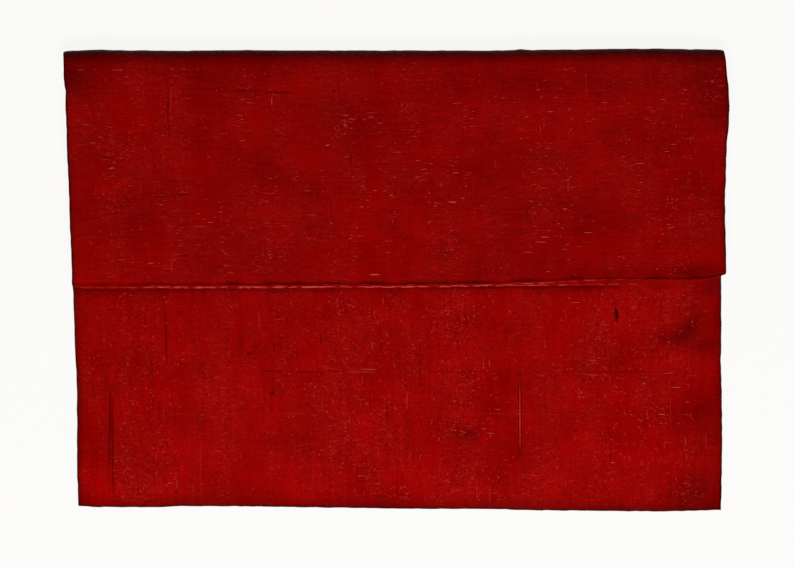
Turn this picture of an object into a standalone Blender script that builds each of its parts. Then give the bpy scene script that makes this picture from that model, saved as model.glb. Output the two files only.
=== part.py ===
"""Fold-over clutch bag of slubbed red silk, built as it is sewn.

One strip of interfaced silk runs from the mouth down the front, round the foot, up the
back, over the top fold and down the flap to a rolled hem. Two side seams close the front
and the back into a pocket. A lining follows the same path inside. Two thin magnets in
round sleeves, one in the flap and one in the front, lie hidden between silk and lining.

Metres, +Z up. The bag lies on its back with the flap closed. +X runs along its width,
+Y from the foot to the top fold, and the origin is under its middle.
"""

import math

import bmesh
import bpy
from mathutils import Vector

MM = 0.001

# Overall sizes
BAG_HEIGHT = 199.4 * MM
MOUTH_WIDTH = 282.5 * MM
FOOT_WIDTH = 280.4 * MM
FLAP_FOLD_WIDTH = 288.9 * MM
FLAP_HEM_WIDTH = 285.6 * MM
FLAP_LENGTH = 103.4 * MM
MOUTH_BELOW_TOP = 13.7 * MM
BODY_THICKNESS = 10.0 * MM

# Cloths, and the clearance between pieces that lie against each other
SILK = 0.7 * MM
LINING = 0.3 * MM
CLEARANCE = 0.3 * MM
FLAP_CLEARANCE = 0.7 * MM

# Side seams: their height above the table, half the height of their edge, the groove along it as a
# share of the cloth, and how much lower the edge is for each unit of depth
SEAM_HEIGHT = 1.9 * MM
SEAM_HALF = 0.45 * MM
SEAM_GROOVE = 0.5
SEAM_NEST = 0.2

# How the panels swell behind a seam, and how wide a turned edge is
PILLOW_WIDTH = 60.0 * MM
PILLOW_SHARE = 0.8
PILLOW_POWER = 4
TURN_WIDTH = 5.0 * MM
LOWER_SLACK = 1.5 * MM
LOWER_SLACK_LENGTH = 60.0 * MM

# The flap: how far the fold stands above it, where it comes to lie flat, its ends' droop
FOLD_FULLNESS = 1.4 * MM
FLAP_SETTLES = 44.0 * MM
FLAP_SIDE_DROP = 1.5 * MM
MOUTH_TURN = 1.5 * MM

# Rolled hem
HEM_TURN = 1.2 * MM
HEM_BEAD_WIDTH = 1.8 * MM
HEM_BEAD_HEIGHT = 0.5 * MM
HEM_GROOVE_WIDTH = 1.6 * MM
HEM_GROOVE_DEPTH = 0.3 * MM

# Hand-sewn unevenness of the outline
FOOT_TILT = 1.05 * MM
HEM_RISE = 6.2 * MM
HEM_RISE_START = -20.0 * MM
HEM_RISE_POWER = 1.4
TOP_SWELL = 0.9 * MM
TOP_SWELL_X = 90.0 * MM
TOP_SWELL_REACH = 45.0 * MM
BODY_LEAN = 0.95 * MM
BODY_SHIFT = 0.55 * MM
FLAP_SWAY = ((1.0, -0.75 * MM), (0.75, 0.65 * MM), (0.38, 0.4 * MM), (0.0, 1.5 * MM))
FLAP_BULGE = 1.0 * MM
FLAP_BULGE_AT = 0.72
FLAP_BULGE_REACH = 0.25
CORNER_DROOP = 0.24
CORNER_DROOP_REACH = 17.0 * MM
CORNER_DROOP_DOWN = 30.0 * MM

# Dents and creases: x, y, reach along, reach across, angle in degrees, height
FRONT_DENTS = (
    (32.5 * MM, -66.5 * MM, 9.0 * MM, 8.0 * MM, 0.0, -0.8 * MM),
    (30.4 * MM, -49.0 * MM, 14.0 * MM, 9.0 * MM, 0.0, 0.6 * MM),
    (125.0 * MM, -21.0 * MM, 17.0 * MM, 7.0 * MM, 16.0, -0.9 * MM),
    (117.0 * MM, -36.0 * MM, 26.0 * MM, 8.0 * MM, 14.0, 0.8 * MM),
    (133.0 * MM, -57.0 * MM, 10.0 * MM, 10.0 * MM, 0.0, -0.8 * MM),
    (-60.0 * MM, -40.0 * MM, 45.0 * MM, 22.0 * MM, 8.0, 0.5 * MM),
)
FLAP_DENTS = (
    (128.6 * MM, 5.0 * MM, 14.0 * MM, 9.0 * MM, 20.0, -0.7 * MM),
    (95.0 * MM, 22.0 * MM, 26.0 * MM, 13.0 * MM, 10.0, 0.5 * MM),
    (-85.0 * MM, 62.0 * MM, 30.0 * MM, 20.0 * MM, -15.0, 0.4 * MM),
)

# Hidden magnets and their sleeves
MAGNET_DIAMETER = 15.0 * MM
MAGNET_THICKNESS = 1.0 * MM
MAGNET_EDGE = 0.15 * MM
MAGNET_ABOVE_HEM = 32.0 * MM
SLEEVE_DIAMETER = 24.0 * MM
SLEEVE_SHEET = 0.2 * MM
SLEEVE_WALL = 0.3 * MM
ROOM_MARGIN = 0.5 * MM
MAGNET_BLEND = 16.0 * MM
MAGNET_BLEND_ACROSS = 22.0 * MM

# Fineness of the mesh
PANEL_STEP = 9.0 * MM
COLUMN_STEP = 24.0 * MM
SIDE_COLUMNS = (0.0, 0.6 * MM, 2.0 * MM, 4.5 * MM, 9.0 * MM, 16.0 * MM, 26.0 * MM, 40.0 * MM)
FOOT_ROWS = (0.0, 0.6 * MM, 2.0 * MM, 4.5 * MM, 9.0 * MM, 15.0 * MM)
MOUTH_ROWS = (0.0, 0.5 * MM, 1.5 * MM)
FOLD_STEPS = 6
TURNED_SIDES = 28
SHARP_ANGLE = math.radians(40)
MERGE_DISTANCE = 0.001 * MM

# Sizes that follow from the ones above
LAYERS = SILK + CLEARANCE + LINING
TOP_Y = BAG_HEIGHT / 2
FOOT_Y = -BAG_HEIGHT / 2
MOUTH_Y = TOP_Y - MOUTH_BELOW_TOP
HEM_Y = TOP_Y - FLAP_LENGTH
FLAP_TOP = BODY_THICKNESS + FLAP_CLEARANCE + LAYERS
FOLD_RADIUS = (FLAP_TOP + FOLD_FULLNESS) / 2
FOLD_Y = TOP_Y - FOLD_RADIUS
BODY_HALF = MOUTH_WIDTH / 2
HEM_ROWS = (
    0.0,
    HEM_TURN * 0.12,
    HEM_TURN * 0.4,
    HEM_BEAD_WIDTH * 0.5,
    HEM_BEAD_WIDTH * 0.8,
    HEM_BEAD_WIDTH + HEM_GROOVE_WIDTH * 0.2,
    HEM_BEAD_WIDTH + HEM_GROOVE_WIDTH * 0.5,
    HEM_BEAD_WIDTH + HEM_GROOVE_WIDTH,
)
MAGNET_Y = HEM_Y + MAGNET_ABOVE_HEM
MAGNET_ROOM = MAGNET_THICKNESS + SLEEVE_SHEET + 2 * CLEARANCE
ROOM_HALF = SLEEVE_DIAMETER / 2 + ROOM_MARGIN
ROOM_SHARE = ROOM_HALF / (FOOT_WIDTH / 2 - LAYERS)
ROOM_BLEND_SHARE = MAGNET_BLEND_ACROSS / BODY_HALF


class Cloth:
    """A cloth of the bag: the depths of its two faces, and how far the magnets push it up or down."""

    def __init__(self, outer, inner, flap_lift, front_lift):
        self.outer = outer
        self.inner = inner
        self.flap_lift = flap_lift
        self.front_lift = front_lift


SILK_CLOTH = Cloth(0.0, SILK, MAGNET_ROOM / 2, -MAGNET_ROOM / 2)
LINING_CLOTH = Cloth(SILK + CLEARANCE, LAYERS, -MAGNET_ROOM / 2, -1.5 * MAGNET_ROOM)


def clamp(value):
    return max(0.0, min(1.0, value))


def ease(value):
    """0 to 1 with a level start and end."""
    t = clamp(value)
    return t * t * (3 - 2 * t)


def turned(distance, width):
    """0 at an edge and 1 from width inwards, on a quarter round."""
    t = clamp(distance / width)
    return math.sqrt(t * (2 - t))


def pillow(distance):
    """The share of its full height that a panel has at a distance from its seam."""
    t = clamp(distance / PILLOW_WIDTH)
    swell = 1 - (1 - t) ** PILLOW_POWER
    return PILLOW_SHARE * swell + (1 - PILLOW_SHARE) * turned(distance, TURN_WIDTH)


def between(points, at):
    """The value at a place, eased between (place, value) points in falling order of place."""
    for (high, high_value), (low, low_value) in zip(points, points[1:]):
        if at >= low:
            return low_value + (high_value - low_value) * ease((at - low) / (high - low))
    return points[-1][1]


def dents_at(dents, x, y):
    """The sum of soft dents and swells at a point."""
    total = 0.0
    for centre_x, centre_y, along, across, angle, height in dents:
        turn = math.radians(angle)
        run = (x - centre_x) * math.cos(turn) + (y - centre_y) * math.sin(turn)
        rise = (y - centre_y) * math.cos(turn) - (x - centre_x) * math.sin(turn)
        total += height * math.exp(-((run / along) ** 2) - (rise / across) ** 2)
    return total


def magnet_room(u, y):
    """1 over the magnets, easing to 0 around them."""
    across = 1 - ease((abs(u) - ROOM_SHARE) / ROOM_BLEND_SHARE)
    along = 1 - ease((abs(y - MAGNET_Y) - ROOM_HALF) / MAGNET_BLEND)
    return across * along


def seam_half(depth):
    return SEAM_HALF - SEAM_NEST * depth


def edge_depth(depth, openness):
    """The depth of a face where the cloth turns under at an edge; openness is 0 at the edge."""
    turned_depth = SEAM_HEIGHT - seam_half(depth)
    return depth + (turned_depth - depth) * (1 - openness)


def body_x(u, y, depth):
    """Across the pocket, from the seam at u = -1 to the seam at u = 1."""
    fall = clamp((MOUTH_Y - y) / (MOUTH_Y - FOOT_Y))
    half = (MOUTH_WIDTH + (FOOT_WIDTH - MOUTH_WIDTH) * fall) / 2
    return u * (half - depth) + BODY_SHIFT + BODY_LEAN * fall


def flap_x(u, y, depth):
    """Across the flap, which is wider than the pocket because no seam draws it in."""
    share = clamp((y - HEM_Y) / (FOLD_Y - HEM_Y))
    half = (FLAP_HEM_WIDTH + (FLAP_FOLD_WIDTH - FLAP_HEM_WIDTH) * ease(share)) / 2
    bulge = FLAP_BULGE * math.exp(-(((share - FLAP_BULGE_AT) / FLAP_BULGE_REACH) ** 2))
    return u * (half + bulge - depth) + between(FLAP_SWAY, share)


def strip_x(u, run, depth):
    """Past the end of the side seam the strip flares from the pocket's width to the flap's."""
    flare = ease(run / (FOLD_Y - MOUTH_Y + math.pi * FOLD_RADIUS))
    narrow = body_x(u, MOUTH_Y, depth)
    return narrow + (flap_x(u, FOLD_Y, depth) - narrow) * flare


def side_openness(u):
    """0 at the side edges of the strip, 1 away from them."""
    return turned(BODY_HALF * (1 - abs(u)), TURN_WIDTH)


def front_point(u, y, depth, lift):
    """A point of the front panel; y is its row, from the mouth to the foot."""
    foot_share = clamp(y / FOOT_Y)
    mouth_share = 1 - clamp((MOUTH_Y - y) / PILLOW_WIDTH)
    place_y = y + (depth - FOOT_TILT * u) * foot_share - depth * mouth_share
    x = body_x(u, y, depth)
    slack = LOWER_SLACK * ease(-y / LOWER_SLACK_LENGTH)
    height = BODY_THICKNESS - slack + lift * magnet_room(u, y) + dents_at(FRONT_DENTS, x, y)
    seam_top = SEAM_HEIGHT + seam_half(depth)
    swell = pillow(BODY_HALF * (1 - abs(u))) * pillow(y - FOOT_Y)
    rise = height - edge_depth(depth, turned(MOUTH_Y - y, MOUTH_TURN)) - seam_top
    return Vector((x, place_y, seam_top + rise * swell))


def back_point(u, y, depth):
    """A point of the back panel, which lies on the table up to its turned edges."""
    foot_share = clamp(y / FOOT_Y)
    place_y = y + (depth - FOOT_TILT * u) * foot_share
    x = body_x(u, y, depth)
    if y > MOUTH_Y:
        x = strip_x(u, y - MOUTH_Y, depth)
    openness = side_openness(u) * turned(y - FOOT_Y, TURN_WIDTH)
    return Vector((x, place_y, edge_depth(depth, openness)))


def fold_point(u, angle, depth):
    """A point of the top fold; the angle runs from -90 degrees below to 90 above."""
    run = FOLD_Y - MOUTH_Y + (angle + math.pi / 2) * FOLD_RADIUS
    x = strip_x(u, run, depth)
    radius = FOLD_RADIUS - edge_depth(depth, side_openness(u))
    swell = TOP_SWELL * math.exp(-(((x - TOP_SWELL_X) / TOP_SWELL_REACH) ** 2))
    y = FOLD_Y + (radius + swell) * math.cos(angle)
    z = FOLD_RADIUS + radius * math.sin(angle)
    return drooped(Vector((x, y, z)))


def flap_point(u, y, depth, lift):
    """A point of the flap; y is its row at the middle, from the fold to the hem."""
    from_hem = y - HEM_Y
    hem_share = 1 - clamp(from_hem / (MAGNET_ABOVE_HEM - ROOM_HALF))
    x = flap_x(u, y, depth)
    reach = FLAP_FOLD_WIDTH / 2 - HEM_RISE_START
    hem_rise = HEM_RISE * clamp((x - HEM_RISE_START) / reach) ** HEM_RISE_POWER
    place_y = y + (hem_rise + depth) * hem_share
    settle = ease((FOLD_Y - y) / FLAP_SETTLES)
    height = 2 * FOLD_RADIUS - FOLD_FULLNESS * settle
    height -= FLAP_SIDE_DROP * settle * (1 - pillow(BODY_HALF * (1 - abs(u))))
    height += lift * magnet_room(u, y) + dents_at(FLAP_DENTS, x, y) * settle
    openness = side_openness(u) * turned(from_hem, HEM_TURN)
    z = height - edge_depth(depth, openness)
    if depth < SILK:
        z += hem_bead(from_hem)
    return drooped(Vector((x, place_y, z)))


def hem_bead(from_hem):
    """The rolled bead along the hem, with the stitched groove behind it."""
    bead = clamp(from_hem / HEM_BEAD_WIDTH)
    groove = clamp((from_hem - HEM_BEAD_WIDTH) / HEM_GROOVE_WIDTH)
    return HEM_BEAD_HEIGHT * math.sin(math.pi * bead) - HEM_GROOVE_DEPTH * math.sin(math.pi * groove)


def drooped(point):
    """The fold sags at its right end, where nothing fills the corner."""
    across = ease(1 - (FLAP_FOLD_WIDTH / 2 - point.x) / CORNER_DROOP_REACH)
    down = ease(1 - (FOLD_Y - point.y) / CORNER_DROOP_DOWN)
    return Vector((point.x, point.y, point.z * (1 - CORNER_DROOP * across * down)))


def filled_in(keys, step):
    """The keys, with even steps no longer than step put between them."""
    places = [keys[0]]
    for start, end in zip(keys, keys[1:]):
        count = max(1, math.ceil(abs(end - start) / step - 1e-6))
        places += [start + (end - start) * n / count for n in range(1, count + 1)]
    return places


def columns():
    """The places across the strip, from -1 at one edge to 1 at the other."""
    side = [1 - distance / BODY_HALF for distance in SIDE_COLUMNS]
    middle = [0.0, ROOM_SHARE, ROOM_SHARE + ROOM_BLEND_SHARE / 2, ROOM_SHARE + ROOM_BLEND_SHARE]
    half = filled_in(middle + [side[-1]], COLUMN_STEP / BODY_HALF) + side[-2::-1]
    return [-u for u in half[:0:-1]] + half


def magnet_rows():
    """The rows that the magnets' room needs, from the top down."""
    top = MAGNET_Y + ROOM_HALF
    bottom = MAGNET_Y - ROOM_HALF
    half = MAGNET_BLEND / 2
    return [top + 2 * half, top + half, top, MAGNET_Y, bottom, bottom - half, bottom - 2 * half]


def panel_rows():
    """The rows of the front and the back, from the mouth to the foot."""
    mouth = [MOUTH_Y - distance for distance in MOUTH_ROWS]
    foot = [FOOT_Y + distance for distance in FOOT_ROWS[::-1]]
    middle = filled_in([mouth[-1]] + magnet_rows() + [foot[0]], PANEL_STEP)
    return mouth + middle[1:-1] + foot


def flap_rows():
    """The rows of the flap, from the fold to the hem."""
    hem = [HEM_Y + distance for distance in HEM_ROWS[::-1]]
    above = magnet_rows()[:-1]
    return filled_in([FOLD_Y] + above + [hem[0]], PANEL_STEP)[1:] + hem[1:]


def strip_points(depth, cloth):
    """The rows of points of one face of a cloth, from the mouth round to the hem."""
    places = columns()
    panel = panel_rows()
    rows = [[front_point(u, y, depth, cloth.front_lift) for u in places] for y in panel]
    rows += [[back_point(u, y, depth) for u in places] for y in panel[::-1]]
    rows += [[back_point(u, (MOUTH_Y + FOLD_Y) / 2, depth) for u in places]]
    for step in range(FOLD_STEPS + 1):
        angle = math.pi * (step / FOLD_STEPS - 0.5)
        rows.append([fold_point(u, angle, depth) for u in places])
    rows += [[flap_point(u, y, depth, cloth.flap_lift) for u in places] for y in flap_rows()]
    return rows


def add_grid(mesh, rows, flip):
    """Quads between rows of vertices, all with the same diagonal, so that nested faces keep clear."""
    for upper, lower in zip(rows, rows[1:]):
        for n in range(len(upper) - 1):
            first, second = lower[n], upper[n + 1]
            if flip:
                first, second = second, first
            mesh.faces.new([upper[n], first, lower[n + 1], second])


def add_seam_wall(mesh, outer, inner, side, groove):
    """One side seam: a grooved wall outside, a plain one inside, and its end at the mouth."""
    seam_rows = len(panel_rows())
    middle = []
    for n in range(seam_rows - 1):
        front = outer[n][side]
        back = outer[2 * seam_rows - 1 - n][side]
        place = (front.co + back.co) / 2
        middle.append(mesh.verts.new(place + Vector((groove, 0, 0))))
    flip = side == 0
    for n in range(seam_rows - 1):
        back_n = 2 * seam_rows - 1 - n
        last = n == seam_rows - 2
        front_pair = [outer[n][side], outer[n + 1][side]]
        back_pair = [outer[back_n - 1][side], outer[back_n][side]]
        if last:
            shapes = [front_pair + [middle[n]]]
            shapes.append([middle[n]] + back_pair)
            shapes.append([front_pair[1], back_pair[0], middle[n]])
        else:
            shapes = [front_pair + [middle[n + 1], middle[n]]]
            shapes.append([middle[n], middle[n + 1]] + back_pair)
        shapes.append([inner[back_n][side], inner[back_n - 1][side], inner[n + 1][side], inner[n][side]])
        for shape in shapes:
            mesh.faces.new(shape[::-1] if flip else shape)
    mouth_back = 2 * seam_rows - 1
    end = [outer[mouth_back][side], inner[mouth_back][side], inner[0][side], outer[0][side]]
    for corner, next_corner in zip(end, end[1:]):
        shape = [middle[0], corner, next_corner]
        mesh.faces.new(shape[::-1] if flip else shape)


def add_strip_side(mesh, outer, inner, side):
    """The side of the strip past the seam: up to the fold, round it and down the flap."""
    start = 2 * len(panel_rows()) - 1
    for n in range(start, len(outer) - 1):
        shape = [outer[n][side], outer[n + 1][side], inner[n + 1][side], inner[n][side]]
        mesh.faces.new(shape[::-1] if side == 0 else shape)


def add_end(mesh, outer_row, inner_row, flip):
    """The turned end of a cloth, at the mouth or the hem."""
    for n in range(len(outer_row) - 1):
        shape = [outer_row[n], outer_row[n + 1], inner_row[n + 1], inner_row[n]]
        mesh.faces.new(shape[::-1] if flip else shape)


def sewn_cloth(name, cloth, finish):
    """One cloth of the bag as a closed solid of even thickness."""
    mesh = bmesh.new()
    outer = [[mesh.verts.new(p) for p in row] for row in strip_points(cloth.outer, cloth)]
    inner = [[mesh.verts.new(p) for p in row] for row in strip_points(cloth.inner, cloth)]
    add_grid(mesh, outer, False)
    add_grid(mesh, inner, True)
    add_end(mesh, outer[0], inner[0], False)
    add_end(mesh, outer[-1], inner[-1], True)
    groove = SEAM_GROOVE * (cloth.inner - cloth.outer)
    add_seam_wall(mesh, outer, inner, 0, groove)
    add_seam_wall(mesh, outer, inner, len(outer[0]) - 1, -groove)
    add_strip_side(mesh, outer, inner, 0)
    add_strip_side(mesh, outer, inner, len(outer[0]) - 1)
    bmesh.ops.triangulate(mesh, faces=mesh.faces[:], quad_method="FIXED")
    bmesh.ops.recalc_face_normals(mesh, faces=mesh.faces[:])
    return placed(name, mesh, Vector((0, 0, 0)), finish)


def turned_solid(name, profile, centre, finish):
    """A round solid from (radius, height) points that start and end on its axis."""
    mesh = bmesh.new()
    verts = [mesh.verts.new((radius, 0, height)) for radius, height in profile]
    edges = [mesh.edges.new(pair) for pair in zip(verts, verts[1:])]
    bmesh.ops.spin(
        mesh,
        geom=verts + edges,
        cent=(0, 0, 0),
        axis=(0, 0, 1),
        angle=math.tau,
        steps=TURNED_SIDES,
    )
    bmesh.ops.remove_doubles(mesh, verts=mesh.verts[:], dist=MERGE_DISTANCE)
    bmesh.ops.recalc_face_normals(mesh, faces=mesh.faces[:])
    return placed(name, mesh, centre, finish)


def placed(name, mesh, centre, finish):
    """An object from a mesh, smooth where it is round, with its own material."""
    data = bpy.data.meshes.new(name)
    mesh.to_mesh(data)
    mesh.free()
    data.materials.append(finish)
    data.shade_smooth()
    data.set_sharp_from_angle(angle=SHARP_ANGLE)
    piece = bpy.data.objects.new(name, data)
    piece.location = centre
    bpy.context.scene.collection.objects.link(piece)
    return piece


def magnet(name, bottom, finish):
    """A thin disc with its edges broken."""
    radius = MAGNET_DIAMETER / 2
    top = MAGNET_THICKNESS
    profile = [
        (0, 0),
        (radius - MAGNET_EDGE, 0),
        (radius, MAGNET_EDGE),
        (radius, top - MAGNET_EDGE),
        (radius - MAGNET_EDGE, top),
        (0, top),
    ]
    return turned_solid(name, profile, Vector((0, MAGNET_Y, bottom)), finish)


def sleeve(name, bottom, finish):
    """A round sheet, sewn in by its flange, with a ring that holds the magnet."""
    ring_inner = MAGNET_DIAMETER / 2 + CLEARANCE
    ring_outer = ring_inner + SLEEVE_WALL
    ring_top = SLEEVE_SHEET + CLEARANCE + MAGNET_THICKNESS
    profile = [
        (0, 0),
        (SLEEVE_DIAMETER / 2, 0),
        (SLEEVE_DIAMETER / 2, SLEEVE_SHEET),
        (ring_outer, SLEEVE_SHEET),
        (ring_outer, ring_top),
        (ring_inner, ring_top),
        (ring_inner, SLEEVE_SHEET),
        (0, SLEEVE_SHEET),
    ]
    return turned_solid(name, profile, Vector((0, MAGNET_Y, bottom)), finish)


def material(name, colour, roughness, metallic):
    """A plain finish of one colour."""
    finish = bpy.data.materials.new(name)
    finish.use_nodes = True
    shader = finish.node_tree.nodes["Principled BSDF"]
    shader.inputs["Base Color"].default_value = (*colour, 1.0)
    shader.inputs["Roughness"].default_value = roughness
    shader.inputs["Metallic"].default_value = metallic
    finish.diffuse_color = (*colour, 1.0)
    return finish


def magnet_pair(place, silk_top):
    """A magnet in its sleeve, under silk whose outer face is at silk_top."""
    magnet_bottom = silk_top - SILK - CLEARANCE - MAGNET_THICKNESS
    sleeve_bottom = magnet_bottom - CLEARANCE - SLEEVE_SHEET
    nickel = material(place + "_nickel", (0.55, 0.53, 0.50), 0.3, 1.0)
    plastic = material(place + "_sleeve_plastic", (0.75, 0.75, 0.74), 0.4, 0.0)
    magnet(place + "_magnet", magnet_bottom, nickel)
    sleeve(place + "_magnet_sleeve", sleeve_bottom, plastic)


def build_bag():
    sewn_cloth("outer_shell", SILK_CLOTH, material("red_silk", (0.23, 0.0015, 0.0015), 0.55, 0.0))
    sewn_cloth("lining", LINING_CLOTH, material("red_lining", (0.16, 0.002, 0.002), 0.45, 0.0))
    magnet_pair("flap", FLAP_TOP + SILK_CLOTH.flap_lift)
    magnet_pair("front", BODY_THICKNESS + SILK_CLOTH.front_lift)


for leftover in list(bpy.data.objects):
    bpy.data.objects.remove(leftover, do_unlink=True)
build_bag()
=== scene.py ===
"""Looks of the slubbed red silk clutch bag: its cloth, threads, finishes, light and camera."""

import math

import bpy
import numpy as np
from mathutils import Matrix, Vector


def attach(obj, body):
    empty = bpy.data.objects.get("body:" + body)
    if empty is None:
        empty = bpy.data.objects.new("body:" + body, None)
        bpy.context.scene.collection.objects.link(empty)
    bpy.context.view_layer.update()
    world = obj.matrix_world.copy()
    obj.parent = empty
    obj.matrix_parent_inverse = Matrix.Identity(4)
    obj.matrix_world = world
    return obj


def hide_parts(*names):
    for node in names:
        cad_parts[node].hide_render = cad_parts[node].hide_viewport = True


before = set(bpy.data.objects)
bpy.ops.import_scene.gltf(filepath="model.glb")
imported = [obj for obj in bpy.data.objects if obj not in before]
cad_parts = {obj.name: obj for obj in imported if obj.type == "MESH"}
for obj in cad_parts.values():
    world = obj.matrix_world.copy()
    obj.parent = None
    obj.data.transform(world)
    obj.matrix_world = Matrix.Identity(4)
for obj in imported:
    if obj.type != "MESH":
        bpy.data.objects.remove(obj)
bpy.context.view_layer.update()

MM = 0.001

# The photograph's frame, where the bag lies in it, and the camera straight above
PHOTO_WIDTH = 794
PHOTO_HEIGHT = 568
BAG_CENTRE_PIXEL = (395.5, 279.75)
PIXEL = 0.4367 * MM
CAMERA_HEIGHT = 2.2
CAMERA_PLANE = 6.0 * MM
SENSOR = 36.0

# The bag, as in the solids under it
BAG_HEIGHT = 199.4 * MM
MOUTH_WIDTH = 282.5 * MM
FOOT_WIDTH = 280.4 * MM
FLAP_FOLD_WIDTH = 288.9 * MM
FLAP_LENGTH = 103.4 * MM
MOUTH_BELOW_TOP = 13.7 * MM
BODY_THICKNESS = 10.0 * MM
SILK = 0.7 * MM
LINING = 0.3 * MM
CLEARANCE = 0.3 * MM
FLAP_CLEARANCE = 0.7 * MM
SEAM_HEIGHT = 1.9 * MM
SEAM_HALF = 0.45 * MM
SEAM_NEST = 0.2
PILLOW_WIDTH = 60.0 * MM
PILLOW_SHARE = 0.8
PILLOW_POWER = 4
TURN_WIDTH = 5.0 * MM
LOWER_SLACK = 1.5 * MM
LOWER_SLACK_LENGTH = 60.0 * MM
FOLD_FULLNESS = 1.4 * MM
FLAP_SETTLES = 44.0 * MM
FLAP_SIDE_DROP = 1.5 * MM
MOUTH_TURN = 1.5 * MM
MAGNET_ABOVE_HEM = 32.0 * MM
MAGNET_ROOM = 1.8 * MM
ROOM_HALF = 12.5 * MM
ROOM_BLEND = 16.0 * MM
ROOM_BLEND_ACROSS = 22.0 * MM

# Rolled hem: its bead, which widens to the right and then narrows into the corner
HEM_TURN = 1.2 * MM
HEM_BEAD_WIDTH = 2.0 * MM
HEM_BEAD_WIDENS = 1.7 * MM
HEM_WIDENS_FROM = 35.0 * MM
HEM_WIDENS_TO = 95.0 * MM
HEM_NARROWS_FROM = 92.0 * MM
HEM_NARROWS_TO = 142.0 * MM
HEM_NARROWED = 0.4 * MM
# Where its lower line fades out at the right, and where it starts to show at the left
HEM_FADES_FROM = 86.0 * MM
HEM_FADES_TO = 118.0 * MM
HEM_SHOWS_FROM = -122.0 * MM
HEM_SHOWS_TO = -98.0 * MM
HEM_LEFT_SHARE = 0.3
HEM_LEFT_NARROW = 0.55
# The bead's form, the groove behind it, and how unevenly both are drawn up
HEM_BEAD_LEAN = 1.8
HEM_BEAD_HEIGHT = 0.55 * MM
HEM_GROOVE_WIDTH = 2.4 * MM
HEM_GROOVE_DEPTH = 0.22 * MM
HEM_GROOVE_START = 0.8
HEM_GROOVE_SHARES = (0.15, 1.7)
HEM_PUCKER_LENGTH = 9.0 * MM
HEM_PUCKER = 0.2

# Hand-sewn unevenness of the outline: pixels of the photograph where the edges bend,
# as (across, down), each line at its own height above the table
FLAP_LEFT = (
    (62.6, 50), (63.2, 58), (64.1, 80), (65.0, 86), (66.3, 91), (65.8, 97), (65.8, 114),
    (66.6, 127), (66.9, 156), (67.9, 169), (69.0, 198), (70.0, 228), (71.8, 268), (71.8, 290),
)
FLAP_RIGHT = (
    (724.2, 50), (725.9, 60), (727.2, 76), (728.9, 90), (729.2, 112), (729.0, 125), (727.4, 137),
    (726.4, 152), (725.9, 182), (725.1, 192), (725.3, 225), (726.3, 262), (726.4, 280),
)
BODY_LEFT = (
    (71.9, 270), (73.4, 296), (74.1, 320), (75.0, 350), (76.8, 380), (77.2, 440), (77.1, 480),
    (78.5, 504),
)
BODY_RIGHT = (
    (721.1, 270), (721.2, 340), (720.8, 366), (721.7, 390), (722.1, 446), (721.5, 482), (720.8, 508),
)
FOOT_LINE = (
    (79, 506.0), (100, 507.1), (160, 507.2), (180, 506.1), (260, 506.5), (330, 507.6), (400, 508.6),
    (500, 509.1), (520, 510.0), (600, 510.9), (660, 511.5), (700, 510.6), (721, 509.8),
)
TOP_LINE = (
    (63, 51.1), (72, 50.5), (86, 49.8), (102, 49.7), (125, 50.3), (180, 50.7), (245, 50.0), (300, 50.4),
    (500, 50.4), (514, 50.0), (521, 49.2), (534, 49.9), (580, 49.3), (620, 48.7), (660, 48.5), (722, 49.5),
)
HEM_LINE = (
    (72, 287.5), (84, 288.5), (200, 288.5), (290, 288.1), (400, 287.9), (440, 287.4), (490, 286.4),
    (545, 286.0), (600, 285.6), (650, 284.6), (690, 282.8), (708, 280.6), (719, 277.4), (726, 275.2),
)
FLAP_EDGE_HEIGHT = 10.0 * MM
FOLD_HEIGHT = 7.0 * MM
HEM_CORNER = 1.8 * MM
CORNER_DROOP = 0.24
CORNER_DROOP_REACH = 17.0 * MM
CORNER_DROOP_DOWN = 30.0 * MM
LEFT_DROOP = 0.16
LEFT_DROOP_REACH = 11.0 * MM
LEFT_DROOP_DOWN = 16.0 * MM
EDGE_WOBBLE = 0.06 * MM
EDGE_WOBBLE_LENGTH = 7.0 * MM
EDGE_REACH_POWER = 14
FREE_TURN = 0.55 * MM
FREE_NEST = 0.3
FREE_TURN_WIDTH = 1.6 * MM

# Seeds of the uneven lines and fields
FRONT_RIPPLE_SEED = 5
FLAP_RIPPLE_SEED = 6
BODY_EDGE_SEED = 11
FLAP_EDGE_SEED = 21
FOOT_EDGE_SEED = 31
TOP_EDGE_SEED = 41
PUCKER_SEED = 51
GROOVE_SEED = 52

# Dents and creases: x, y, reach along, reach across, angle in degrees, height
FRONT_DENTS = (
    (32.5 * MM, -66.5 * MM, 9.0 * MM, 8.0 * MM, 0.0, -0.8 * MM),
    (30.4 * MM, -49.0 * MM, 14.0 * MM, 9.0 * MM, 0.0, 0.6 * MM),
    (125.0 * MM, -21.0 * MM, 17.0 * MM, 7.0 * MM, 16.0, -0.9 * MM),
    (117.0 * MM, -36.0 * MM, 26.0 * MM, 8.0 * MM, 14.0, 0.8 * MM),
    (133.0 * MM, -57.0 * MM, 10.0 * MM, 10.0 * MM, 0.0, -0.8 * MM),
    (-60.0 * MM, -40.0 * MM, 45.0 * MM, 22.0 * MM, 8.0, 0.5 * MM),
)
FLAP_DENTS = (
    (128.6 * MM, 5.0 * MM, 14.0 * MM, 9.0 * MM, 20.0, -0.7 * MM),
    (95.0 * MM, 22.0 * MM, 26.0 * MM, 13.0 * MM, 10.0, 0.5 * MM),
    (-85.0 * MM, 62.0 * MM, 30.0 * MM, 20.0 * MM, -15.0, 0.4 * MM),
)
PANEL_RIPPLE = 0.06 * MM
PANEL_RIPPLE_LENGTH = 30.0 * MM

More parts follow.
